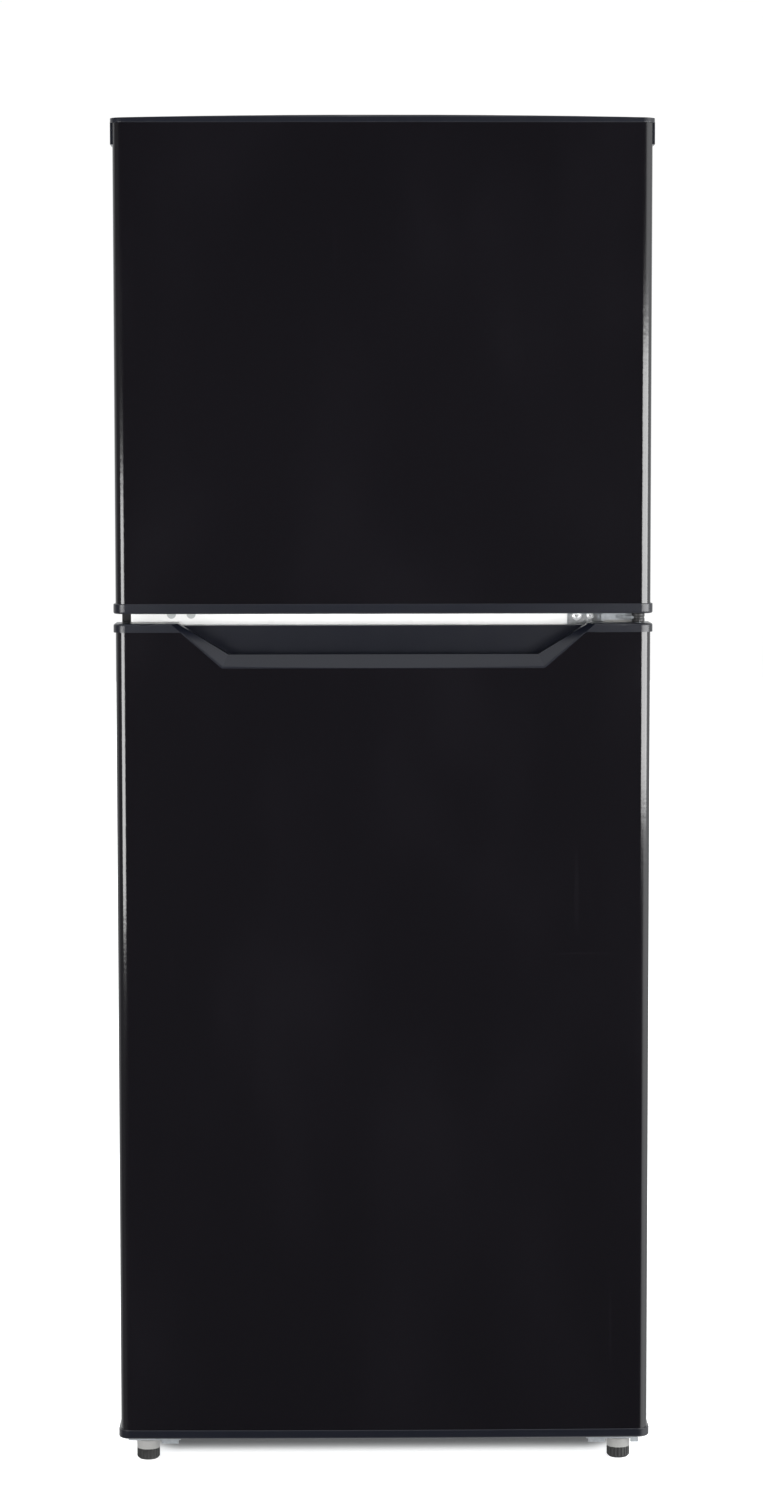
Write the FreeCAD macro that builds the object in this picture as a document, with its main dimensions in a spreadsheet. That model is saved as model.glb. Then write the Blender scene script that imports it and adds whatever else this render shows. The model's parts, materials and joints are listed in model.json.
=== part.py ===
"""Two-door top freezer refrigerator, in millimetres.

Frame: origin on the floor under the middle of the appliance, +Z up, the doors face -Y and
+X is to the right of a person who stands in front of them. Each function makes one
sub-assembly; each sub-part has a Label that names its node, and sizes bound to the sheet.
"""
import FreeCAD, Part
import math
import os
import re

import Sketcher

V = FreeCAD.Vector

# Driving dimensions, one spreadsheet cell each.
DIMS = {
    # outside of the appliance
    "width": 595.0, "depth": 660.0, "height": 1509.0,
    "cabinet_width": 582.0, "cabinet_base": 39.5, "cabinet_top": 1498.0,
    "rear_space": 24.0, "steel": 0.8, "plastic": 1.5, "sheet_thick": 1.5, "front_return": 10.0,
    # insulated walls and the two compartments
    "cavity_half": 246.0,
    "cavity_round": 18.0, "cavity_rear": 248.0, "fridge_floor": 88.0, "fridge_ceiling": 925.0,
    "freezer_floor": 1000.0, "freezer_ceiling": 1446.0,
    "step_top": 307.0, "step_front": 65.0, "machine_front": 108.0, "machine_top": 262.0,
    "rail_low": 944.0, "rail_high": 982.0, "plug_x": -214.0, "plug_radius": 5.0,
    # doors
    "door_thickness": 57.0, "gasket_gap": 12.0, "gasket_clear": 0.3, "gasket_width": 18.0,
    "gasket_half": 272.0, "gasket_round": 8.0,
    "fridge_gasket_low": 60.0, "fridge_gasket_high": 948.0,
    "freezer_gasket_low": 973.0, "freezer_gasket_high": 1487.0,
    "cap_round": 2.2, "cap_ease": 0.9, "crown": 3.0, "corner_radius": 11.0, "skin_inset": 2.5,
    "skin_setback": 1.0,
    "skin_return": 8.0, "fridge_door_base": 42.0, "fridge_door_top": 955.0, "freezer_door_base": 966.0,
    "fridge_low_band": 10.0, "fridge_high_band": 9.5, "freezer_low_band": 11.0, "freezer_high_band": 8.0,
    "top_arch": 3.0, "lug_height": 28.0, "lug_front": -316.0, "lug_rear": -280.0,
    "dike_half": 236.0, "dike_width": 26.0, "dike_depth": 38.0, "dike_inset": 10.0, "dike_round": 4.0,
    # door pivots
    "pivot_x": 283.0, "pivot_depth": 31.0, "pin_radius": 4.0, "pin_clear": 0.06, "pin_length": 18.0,
    "boss_radius": 9.0, "boss_height": 20.0, "eye_radius": 6.5,
    # handle pocket in the head of the lower door
    "grip_top_half": 234.5, "grip_low_half": 178.0, "grip_depth": 49.0,
    "mouth_top_half": 226.5, "mouth_low_half": 171.0, "mouth_depth": 34.0,
    "lip_thick": 11.0, "pocket_rear": -296.0, "pocket_floor": 904.0, "pocket_wall": 2.0, "pocket_relief": 3.0,
    # hinges and feet
    "screw_head_radius": 3.6, "screw_head_height": 1.8, "shank_radius": 1.6,
    "hinge_thick": 3.0, "middle_hinge_base": 959.0, "top_recess_floor": 1496.0, "recess_wall": 13.0,
    "hinge_base_left": 205.0, "hinge_base_right": 284.0, "hinge_base_rear": -196.0,
    "hinge_cover_left": 198.0, "hinge_cover_right": 289.0, "hinge_cover_rear": -188.0,
    "hinge_cover_height": 9.5, "hinge_cover_wall": 1.5,
    "flange_left": 206.6, "flange_right": 281.0, "flange_low": 951.0, "flange_high": 971.0,
    "flange_thick": 2.5,
    "stop_left": 243.0, "stop_right": 279.0, "stop_low": 956.0, "stop_high": 965.0, "stop_setback": 14.0,
    "middle_screw_level": 961.0, "plug_level": 963.0, "plug_pitch": 22.0, "pilot_radius": 1.6,
    "panel_half": 262.0, "panel_front": -170.0, "panel_rear": 288.0, "panel_rise": 0.8,
    "recess_left": 236.0, "foot_x": 268.0, "foot_y": -250.0, "foot_radius": 13.0, "foot_pad": 12.5,
    "foot_collar": 23.0, "stud_radius": 4.0, "stud_top": 36.0, "bracket_low": 24.0, "bracket_in": 231.0,
    "bracket_out": 290.0, "bracket_front": -266.0, "bracket_rear": -200.0, "roller_radius": 17.0,
    "roller_width": 16.0, "roller_x": 250.0, "roller_y": 268.0, "axle_radius": 3.0,
    # inside the fresh food compartment
    "shelf_rear": 238.0, "shelf_front": -168.0, "glass_thick": 4.0, "trim_height": 14.0, "trim_depth": 12.0,
    "shelf_one": 470.0, "shelf_two": 620.0, "shelf_three": 770.0, "ledge_width": 8.0,
    "drawer_half": 232.0, "drawer_front": -158.0, "drawer_rear": 52.0, "drawer_low": 95.0,
    "drawer_high": 286.0, "drawer_wall": 2.5, "rail_level": 279.0, "cover_level": 300.0,
    "control_half": 112.0, "control_front": -120.0, "control_rear": 30.0, "control_low": 878.0,
    "knob_x": -58.0, "knob_level": 901.0, "knob_radius": 17.0, "knob_length": 16.0,
    "stem_radius": 3.0, "control_round": 6.0,
    "bulb_y": -45.0, "bulb_level": 903.0, "bulb_radius": 13.0, "bulb_length": 30.0, "bulb_cap_radius": 7.0,
    "switch_half": 14.0, "switch_front": -225.0, "switch_rear": -190.0, "switch_low": 892.0,
    "plunger_length": 28.0,
    "lamp_x": 60.0, "switch_x": -150.0, "switch_level": 904.0, "plunger_radius": 4.0,
    # inside the freezer
    "cover_front": 186.0, "cover_thick": 2.0, "fan_x": 0.0, "fan_level": 1335.0, "fan_radius": 46.0,
    "fan_y": 192.0, "hub_radius": 13.0, "hub_length": 14.0, "shaft_radius": 2.0,
    "motor_radius": 27.0, "motor_length": 24.0, "evaporator_tube": 4.0,
    "rack_rail": 3.0, "rack_wire": 1.8,
    "slider_level": 1412.0, "rack_level": 1225.0, "rack_rear": 180.0, "rack_front": -166.0,
    "coil_half": 196.0, "coil_low": 1016.0, "coil_high": 1184.0, "coil_front": 200.0, "coil_rear": 242.0,
    # bins on the doors
    "bin_half": 208.0, "bin_rear": -190.0, "bin_wall": 2.0, "bin_height": 72.0, "bottle_height": 120.0,
    "bottle_level": 128.0, "bin_low_level": 440.0, "bin_high_level": 690.0,
    "freezer_bin_low": 1040.0, "freezer_bin_high": 1250.0,
    # machine compartment and condenser
    "suction_x": -70.0, "suction_level": 150.0, "discharge_x": -120.0, "discharge_level": 112.0,
    "pipe_radius": 3.2, "pipe_shift": 34.0,
    "drier_x": -170.0, "drier_low": 120.0, "drier_radius": 9.0, "drier_length": 90.0,
    "gland_radius": 8.0, "gland_rim": 11.0, "gland_bore": 3.6, "pad_radius": 11.0, "pad_neck": 5.9,
    "shell_x": 70.0, "shell_y": 205.0, "shell_radius": 74.0, "shell_low": 58.0, "shell_high": 216.0,
    "tube_radius": 2.5, "condenser_y": 318.0, "condenser_half": 230.0, "condenser_low": 330.0,
    "condenser_pitch": 70.0, "vent_height": 5.0, "gland_x": -238.0, "gland_level": 75.0,
}

# Places of the case screws: (x, y) on the top hinge, x on the middle hinge, x and z on the rear cover.
TOP_SCREWS = (("218", "-240"), ("262", "-240"), ("240", "-208"))
MIDDLE_SCREWS = ("217", "232")
COVER_SCREW_COLUMNS = ("-260", "0", "260")
COVER_SCREW_LEVELS = ("62", "248")

# Sizes and places that follow from the driving dimensions.
DERIVED = {
    "cap_front": "-depth / 2",
    "skin_front": "cap_front + skin_setback",
    "door_rear": "cap_front + door_thickness",
    "cabinet_front": "door_rear + gasket_gap",
    "cabinet_rear": "depth / 2 - rear_space",
    "cabinet_half": "cabinet_width / 2",
    "cap_half": "width / 2",
    "skin_half": "cap_half - skin_inset",
    "pivot_y": "cap_front + pivot_depth",
    "liner_front": "door_rear - plastic",
    "lining_front": "cabinet_front + plastic",
    "return_half": "cabinet_half - front_return",
    "dike_rear": "door_rear + dike_depth",
    "freezer_skin_top": "height - freezer_high_band",
    "bottom_hinge_base": "cabinet_base - hinge_thick",
    "bin_floor_gap": "door_rear + 0.5",
}

DOC = FreeCAD.newDocument("refrigerator")
SHEET = DOC.addObject("Spreadsheet::Sheet", "dims")
for row, (alias, size) in enumerate(DIMS.items(), start=1):
    SHEET.set(f"A{row}", alias)
    SHEET.set(f"B{row}", str(size))
    SHEET.setAlias(f"B{row}", alias)
DOC.recompute()

NODES = {}


def ex(text):
    """Turn a size written in plain names into an expression on the sheet's cells."""

    def swap(match):
        word = match.group(0)
        if word in DERIVED:
            return "(" + ex(DERIVED[word]) + ")"
        return "dims." + word if word in DIMS else word

    return re.sub(r"[a-z_][a-z_0-9]*", swap, str(text))


def num(text):
    """Value of a size at the sheet's present numbers."""
    return float(SHEET.evalExpression(ex(text)))


def bind(obj, prop, text):
    obj.setExpression(prop, ex(text))


def node(name, obj):
    """Name an object as a sub-part that is exported."""
    obj.Label = name
    NODES[name] = obj
    return obj


def place(obj, x=0, y=0, z=0):
    for letter, text in zip("xyz", (x, y, z)):
        bind(obj, "Placement.Base." + letter, text)
    return obj


def box(name, xs, ys, zs):
    """Block between two limits on each axis."""
    block = DOC.addObject("Part::Box", name)
    for prop, (low, high) in zip(("Length", "Width", "Height"), (xs, ys, zs)):
        bind(block, prop, f"({high}) - ({low})")
    return place(block, xs[0], ys[0], zs[0])


def rod(name, axis, start, radius, length):
    """Cylinder from a start point along the +X, +Y or +Z axis."""
    turns = {
        "X": FreeCAD.Rotation(V(0, 1, 0), 90),
        "Y": FreeCAD.Rotation(V(1, 0, 0), -90),
        "Z": FreeCAD.Rotation(),
    }
    cylinder = DOC.addObject("Part::Cylinder", name)
    bind(cylinder, "Radius", radius)
    bind(cylinder, "Height", length)
    cylinder.Placement = FreeCAD.Placement(V(), turns[axis])
    return place(cylinder, *start)


def fuse(name, shapes):
    result = DOC.addObject("Part::MultiFuse", name)
    result.Shapes = shapes
    return result


def cut(name, base, tools):
    result = DOC.addObject("Part::Cut", name)
    result.Base = base
    result.Tool = tools[0] if len(tools) == 1 else fuse(name + "_tool", tools)
    return result


def common(name, first, second):
    result = DOC.addObject("Part::MultiCommon", name)
    result.Shapes = [first, second]
    return result


def group(name, solids):
    """Separate solids that share one node, such as a set of screws."""
    result = DOC.addObject("Part::Compound", name)
    result.Links = solids
    return result


def rounded(name, base, radius, wanted):
    """Part::Fillet on the edges that the test picks."""
    DOC.recompute()
    size = num(radius)
    picked = [i + 1 for i, edge in enumerate(base.Shape.Edges) if wanted(edge)]
    result = DOC.addObject("Part::Fillet", name)
    result.Base = base
    result.Edges = [(i, size, size) for i in picked]
    return result


def along(edge, axis):
    """True for a straight edge that runs along the axis."""
    if not isinstance(edge.Curve, (Part.Line, Part.LineSegment)):
        return False
    run = edge.Vertexes[-1].Point - edge.Vertexes[0].Point
    return abs(abs(run.normalize()[axis]) - 1) < 1e-6


def body(name):
    return DOC.addObject("PartDesign::Body", name)


def sketch(owner, name, role, offset):
    """Empty sketch on one of the body's own origin planes, moved along the plane's normal."""
    drawing = owner.newObject("Sketcher::SketchObject", name)
    plane = next(item for item in owner.Origin.OriginFeatures if item.Role == role)
    drawing.AttachmentSupport = [(plane, "")]
    drawing.MapMode = "FlatFace"
    bind(drawing, "AttachmentOffset.Base.z", offset)
    return drawing


def outline(drawing, points, arcs=None):
    """Closed outline, counter-clockwise; a side in arcs bulges outwards with that radius."""
    arcs = arcs or {}
    first = drawing.GeometryCount
    flat = [V(num(x), num(y), 0) for x, y in points]
    for i, start in enumerate(flat):
        end = flat[(i + 1) % len(flat)]
        if i in arcs:
            radius = num(arcs[i])
            chord = end - start
            left = V(-chord.y, chord.x, 0).normalize()
            centre = (start + end) * 0.5 + left * math.sqrt(radius**2 - (chord.Length / 2) ** 2)
            angles = [math.atan2(p.y - centre.y, p.x - centre.x) for p in (start, end)]
            if angles[1] < angles[0]:
                angles[1] += 2 * math.pi
            drawing.addGeometry(Part.ArcOfCircle(Part.Circle(centre, V(0, 0, 1), radius), *angles))
        else:
            drawing.addGeometry(Part.LineSegment(start, end))
    count = len(flat)
    for i in range(count):
        here = first + i
        after = first + (i + 1) % count
        drawing.addConstraint(Sketcher.Constraint("Coincident", here, 2, after, 1))
    for i, (x, y) in enumerate(points):
        for kind, text, value in (("DistanceX", x, flat[i].x), ("DistanceY", y, flat[i].y)):
            index = drawing.addConstraint(Sketcher.Constraint(kind, -1, 1, first + i, 1, value))
            bind(drawing, f"Constraints[{index}]", text)
    for i, radius in arcs.items():
        index = drawing.addConstraint(Sketcher.Constraint("Radius", first + i, num(radius)))
        bind(drawing, f"Constraints[{index}]", radius)


def pad(owner, name, plane, start, length, outlines, arcs=None):
    """Pad from start towards +X, +Y or +Z; the plane is YZ, XZ or XY."""
    sign = "-" if plane == "XZ" else ""
    drawing = sketch(owner, name + "_sketch", plane + "_Plane", f"{sign}({start})")
    for points in outlines:
        outline(drawing, points, arcs)
    feature = owner.newObject("PartDesign::Pad", name)
    feature.Profile = drawing
    feature.Reversed = plane == "XZ"
    bind(feature, "Length", length)
    return feature


def edge_fillet(owner, name, radius, wanted):
    """PartDesign fillet on the edges of the body's tip that the test picks."""
    DOC.recompute()
    tip = owner.Tip
    names = [f"Edge{i + 1}" for i, edge in enumerate(tip.Shape.Edges) if wanted(edge)]
    feature = owner.newObject("PartDesign::Fillet", name)
    feature.Base = (tip, names)
    bind(feature, "Radius", radius)
    return feature


def turned(name, points, centre):
    """Revolved solid about a vertical axis through the centre; points are (radius, height)."""
    owner = body(name)
    drawing = sketch(owner, name + "_sketch", "XZ_Plane", 0)
    outline(drawing, points)
    feature = owner.newObject("PartDesign::Revolution", name + "_turn")
    feature.Profile = drawing
    feature.ReferenceAxis = (drawing, ["V_Axis"])
    feature.Angle = 360
    return place(owner, *centre)


def plan_outline(half, front, rear, crown="crown"):
    """Door outline seen from above, whose front side is a shallow arc."""
    points = [(f"-({half})", f"{front} + {crown}"), (half, f"{front} + {crown}"), (half, rear),
              (f"-({half})", rear)]
    arc = f"(({half}) * ({half}) + {crown} * {crown}) / (2 * {crown})"
    return points, {0: arc}


def crowned_block(name, half, front, rear, low, high, radius):
    """Solid with the door's outline and rounded front corners."""
    owner = body(name)
    points, arcs = plan_outline(half, front, rear)
    pad(owner, name + "_pad", "XY", low, f"({high}) - ({low})", [points], arcs)
    edge_fillet(owner, name + "_corners", radius,
                lambda e: along(e, 2) and e.CenterOfMass.y < num(front) + 20)
    return owner


def trapezoid_prism(name, top_half, top, low_half, low, front, rear):
    """Prism along Y whose section is a trapezoid standing on its short side."""
    owner = body(name)
    points = [(f"-({low_half})", low), (low_half, low), (top_half, top), (f"-({top_half})", top)]
    pad(owner, name + "_pad", "XZ", front, f"({rear}) - ({front})", [points])
    return owner


def rim(name, half, low, high, width, front, rear, radius):
    """Rectangular ring that stands around an opening and is extruded along Y."""
    owner = body(name)
    outer = [(f"-({half})", low), (half, low), (half, high), (f"-({half})", high)]
    inner_half = f"({half}) - ({width})"
    low_in = f"({low}) + ({width})"
    high_in = f"({high}) - ({width})"
    inner = [(f"-({inner_half})", low_in), (inner_half, low_in), (inner_half, high_in),
             (f"-({inner_half})", high_in)]
    pad(owner, name + "_pad", "XZ", front, f"({rear}) - ({front})", [outer, inner])
    edge_fillet(owner, name + "_corners", radius, lambda e: along(e, 1))
    return owner


def screw(name, x, y, z, axis):
    """Pan-head screw whose head stands on the face at (x, y, z); the axis points out of it."""
    head_height = "screw_head_height"
    shank = {"-Y": ("Y", (x, y, z)), "+Z": ("Z", (x, y, f"({z}) - 5")), "+Y": ("Y", (x, f"({y}) - 4", z))}
    head = {"-Y": ("Y", (x, f"({y}) - {head_height}", z)), "+Z": ("Z", (x, y, z)), "+Y": ("Y", (x, y, z))}
    long = {"-Y": "7", "+Z": "5", "+Y": "4"}[axis]
    parts = [
        rod(name + "_head", head[axis][0], head[axis][1], "screw_head_radius", head_height),
        rod(name + "_shank", shank[axis][0], shank[axis][1], "shank_radius", long),
    ]
    return fuse(name, parts)


# ---------------------------------------------------------------- doors


def door_skin(prefix, low, high, notches):
    """Folded steel skin: crowned front, two sides and a short return at the rear."""
    outer = crowned_block(prefix + "_skin_outer", "skin_half", "skin_front", "liner_front", low, high,
                          "corner_radius")
    inner = crowned_block(
        prefix + "_skin_inner", "skin_half - steel", "skin_front + steel", "liner_front - steel",
        f"{low} - 1", f"{high} + 1", "corner_radius - steel",
    )
    reach = "skin_half - skin_return"
    mouth = box(prefix + "_skin_mouth", (f"-({reach})", reach), ("liner_front - 2", "door_rear"),
                (f"{low} - 1", f"{high} + 1"))
    return node(prefix + "_skin", cut(prefix + "_skin_cut", outer, [inner, mouth] + notches))


def door_liner(prefix, low, high, dike_low, dike_high, notches=()):
    """Inner panel with a hollow dike that stands into the compartment, cut away at the notches."""
    plate = box(prefix + "_liner_plate", ("-skin_half + 2", "skin_half - 2"), ("liner_front", "door_rear"),
                (low, high))
    ridge = rim(prefix + "_ridge", "dike_half", dike_low, dike_high, "dike_width", "door_rear - 0.5",
                "dike_rear",
                "dike_round * 2")
    soft = rounded(prefix + "_ridge_soft", ridge, "dike_round",
                   lambda e: abs(e.CenterOfMass.y - num("dike_rear")) < 1e-3)
    core = rim(prefix + "_ridge_core", "dike_half - plastic", f"{dike_low} + plastic",
               f"{dike_high} - plastic",
               "dike_width - 2 * plastic", "liner_front", "dike_rear - plastic - 0.5", "dike_round")
    shell = fuse(prefix + "_liner_solid", [plate, soft])
    return node(prefix + "_liner", cut(prefix + "_liner_cut", shell, [core, *notches])), core


def door_foam(prefix, low, high, core, cavities):
    """Insulation between the skin, the end caps and the inner panel."""
    block = crowned_block(
        prefix + "_foam_block", "skin_half - steel", "skin_front + steel", "liner_front - steel", low, high,
        "corner_radius - steel",
    )
    neck = box(prefix + "_foam_neck", ("-skin_half + skin_return", "skin_half - skin_return"),
               ("liner_front - steel - 1", "liner_front"), (f"{low} + 14", f"{high} - 30"))
    trimmed = cut(prefix + "_foam_cut", block, cavities)
    return node(prefix + "_foam", fuse(prefix + "_foam_all", [trimmed, neck, core]))


def cap_plate(prefix, low, high, end, eased=True):
    """End cap plate, a little proud of the skin; the edge on the skin's side can be eased too."""
    owner = crowned_block(f"{prefix}_{end}_plate", "cap_half", "cap_front", "door_rear", low, high,
                          "corner_radius + skin_inset")
    free = num(high if end == "top" else low)
    held = num(low if end == "top" else high)
    edge_fillet(owner, f"{prefix}_{end}_free_edge", "cap_round",
                lambda e: abs(e.BoundBox.ZMin - free) < 1e-4 and abs(e.BoundBox.ZMax - free) < 1e-4
                and e.CenterOfMass.y < num("door_rear") - 0.1)
    if eased:
        edge_fillet(owner, f"{prefix}_{end}_held_edge", "cap_ease",
                    lambda e: abs(e.BoundBox.ZMin - held) < 1e-4 and abs(e.BoundBox.ZMax - held) < 1e-4
                    and e.CenterOfMass.y < num("door_rear") - 0.1)
    return owner


def cap_lugs(prefix, end, low, high):
    """Tabs of an end cap that lie on the outside of the skin's two sides."""
    lugs = []
    for side, (near, far) in (("left", ("-cap_half", "-skin_half")), ("right", ("skin_half", "cap_half"))):
        lugs.append(box(f"{prefix}_{end}_{side}_lug", (near, far), ("lug_front", "lug_rear"), (low, high)))
    return lugs


def pivot_boss(name, low, high):
    return rod(name, "Z", ("pivot_x", "pivot_y", low), "boss_radius", f"({high}) - ({low})")


def pivot_bore(name, low, high):
    return rod(name, "Z", ("pivot_x", "pivot_y", low), "pin_radius + pin_clear", f"({high}) - ({low})")


def gasket(prefix, low, high):
    ring = rim(prefix + "_gasket_ring", "gasket_half", low, high, "gasket_width", "door_rear",
               "cabinet_front - gasket_clear", "gasket_round")
    return node(prefix + "_gasket", ring)


def bin_tray(name, level, height):
    """Open rack that hangs between the two upright sides of the dike."""
    block = box(name + "_block", ("-bin_half", "bin_half"), ("bin_floor_gap", "bin_rear"),
                (level, f"{level} + {height}"))
    soft = rounded(name + "_soft", block, "10",
                   lambda e: along(e, 2) and e.CenterOfMass.y > num("bin_rear") - 1)
    hollow = box(name + "_hollow", ("-bin_half + bin_wall", "bin_half - bin_wall"),
                 ("bin_floor_gap + bin_wall", "bin_rear - bin_wall"),
                 (f"{level} + bin_wall", f"{level} + {height} + 1"))
    inner = rounded(name + "_inner", hollow, "8",
                    lambda e: along(e, 2) and e.CenterOfMass.y > num("bin_rear") - 4)
    return cut(name, soft, [inner])


def handle_pocket():
    """Pocket handle: shell behind the skin, bevelled mouth and a hollow behind the grip lip."""
    top = "fridge_door_top"
    face = crowned_block("grip_face", "skin_half", "skin_front", "pocket_rear + pocket_wall",
                         "pocket_floor - 10", top, "corner_radius")
    front = trapezoid_prism("grip_front", "grip_top_half", top, "grip_low_half", f"{top} - grip_depth",
                            "cap_front", "skin_front + lip_thick")
    flush = common("grip_flush", front, face)
    shell = trapezoid_prism("grip_shell", "grip_top_half", top, "grip_low_half - 29", "pocket_floor - 2.5",
                            "skin_front + lip_thick - 2", "pocket_rear + pocket_wall")
    hollow = trapezoid_prism("grip_hollow", "mouth_top_half + 1.6", f"{top} + 1", "mouth_low_half - 28",
                             "pocket_floor",
                             "skin_front + lip_thick", "pocket_rear")
    throat = trapezoid_prism("grip_throat", "mouth_top_half + 1.6", f"{top} + 1", "mouth_low_half",
                             f"{top} - mouth_depth", "cap_front - 1", "skin_front + lip_thick + 1")
    bevel = body("grip_bevel")
    sections = (("wide", "skin_front - 1", "grip_top_half + 1", "grip_low_half + 1", "grip_depth + 1"),
                ("tight", "skin_front + 9", "mouth_top_half", "mouth_low_half", "mouth_depth"))
    drawings = []
    for name, start, top_half, low_half, drop in sections:
        drawing = sketch(bevel, "bevel_" + name, "XZ_Plane", f"-({start})")
        outline(drawing, [(f"-({low_half})", f"{top} - ({drop})"), (low_half, f"{top} - ({drop})"),
                          (f"{top_half} + 1.5", f"{top} + 1"), (f"-({top_half}) - 1.5", f"{top} + 1")])
        drawings.append(drawing)
    loft = bevel.newObject("PartDesign::AdditiveLoft", "bevel_loft")
    loft.Profile = drawings[0]
    loft.Sections = [drawings[1]]
    loft.Ruled = True
    relief = box("grip_relief", ("-mouth_top_half", "mouth_top_half"), ("pocket_rear - 1", "door_rear + 1"),
                 (f"{top} - pocket_relief", f"{top} + 1"))
    return [flush, shell], [hollow, throat, bevel, relief], [front, shell]


def fridge_door():
    low = "fridge_door_base"
    top = "fridge_door_top"
    skin_low = f"{low} + fridge_low_band"
    skin_high = f"{top} - fridge_high_band"
    solids, hollows, moulds = handle_pocket()

    skin_gap = trapezoid_prism("skin_grip_gap", "grip_top_half", top, "grip_low_half", f"{top} - grip_depth",
                               "cap_front - 1", "skin_front + 6")
    door_skin("fridge_door", skin_low, skin_high, [skin_gap])
    top_boss = pivot_boss("fridge_top_boss", f"{skin_high} - boss_height", skin_high)
    low_boss = pivot_boss("fridge_low_boss", skin_low, f"{skin_low} + boss_height")

    top_parts = [cap_plate("fridge", skin_high, top, "top", eased=False), top_boss] + solids
    top_bore = pivot_bore("fridge_top_bore", f"{top} - pin_length - 2", f"{top} + 1")
    top_solid = fuse("fridge_top_solid", top_parts)
    node("fridge_door_top_cap", cut("fridge_top_cut", top_solid, hollows + [top_bore]))

    low_parts = [cap_plate("fridge", low, skin_low, "base"), low_boss]
    low_bore = pivot_bore("fridge_low_bore", f"{low} - 1", f"{low} + pin_length + 2")
    node("fridge_door_bottom_cap", cut("fridge_low_cut", fuse("fridge_low_solid", low_parts), [low_bore]))

    _, core = door_liner("fridge_door", skin_low, f"{top} - 10", "fridge_floor + dike_inset",
                         "fridge_ceiling - dike_inset")
    door_foam("fridge_door", skin_low, skin_high, core, moulds + [top_boss, low_boss])
    gasket("fridge_door", "fridge_gasket_low", "fridge_gasket_high")
    racks = [bin_tray("fridge_rack_low", "bin_low_level", "bin_height"),
             bin_tray("fridge_rack_high", "bin_high_level", "bin_height")]
    node("fridge_door_racks", group("fridge_racks", racks))
    node("bottle_rack", bin_tray("bottle_tray", "bottle_level", "bottle_height"))


def freezer_door():
    low = "freezer_door_base"
    skin_low = f"{low} + freezer_low_band"
    skin_high = "freezer_skin_top"
    recess_wall = "pivot_y - recess_wall"
    recess = box("freezer_recess", ("recess_left", "cap_half + 1"), (recess_wall, "door_rear + 1"),
                 ("top_recess_floor", "height + 1"))
    door_skin("freezer_door", skin_low, skin_high, [recess])

    plate = cap_plate("freezer", skin_high, "height", "top")
    arch = body("freezer_arch")
    half = "cap_half + 5"
    sag = "top_arch"
    arch_points = [(f"-({half})", "freezer_skin_top - 60"), (half, "freezer_skin_top - 60"),
                   (half, f"height - {sag}"), (f"-({half})", f"height - {sag}")]
    pad(arch, "freezer_arch_pad", "XZ", "cap_front - 1", "door_thickness + 2", [arch_points],
        {2: f"(({half}) * ({half}) + {sag} * {sag}) / (2 * {sag})"})
    block = box("freezer_hinge_block", ("recess_left - 4", "skin_half - steel"),
                ("pivot_y - 16", "liner_front - steel"),
                ("top_recess_floor - boss_height", "freezer_skin_top + 1"))
    parts = [plate, block] + cap_lugs("freezer", "top", "height - top_arch - lug_height",
                                      "freezer_skin_top + 1")
    arched = common("freezer_arched", fuse("freezer_top_solid", parts), arch)
    bore = pivot_bore("freezer_top_bore", "top_recess_floor - pin_length", "top_recess_floor + 1")
    node("freezer_door_top_cap", cut("freezer_top_cut", arched, [recess, bore]))

    low_boss = pivot_boss("freezer_low_boss", skin_low, f"{skin_low} + boss_height")
    low_parts = [cap_plate("freezer", low, skin_low, "base"), low_boss]
    low_bore = pivot_bore("freezer_low_bore", f"{low} - 1", f"{low} + pin_length + 4")
    node("freezer_door_bottom_cap", cut("freezer_low_cut", fuse("freezer_low_solid", low_parts), [low_bore]))

    _, core = door_liner("freezer_door", skin_low, skin_high, "freezer_floor + dike_inset",
                         "freezer_ceiling - dike_inset", [recess])
    door_foam("freezer_door", skin_low, skin_high, core, [block, low_boss])
    gasket("freezer_door", "freezer_gasket_low", "freezer_gasket_high")
    racks = [bin_tray("freezer_rack_low", "freezer_bin_low", "bin_height"),
             bin_tray("freezer_rack_high", "freezer_bin_high", "bin_height")]
    node("freezer_door_racks", group("freezer_racks", racks))


# ---------------------------------------------------------------- cabinet


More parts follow.
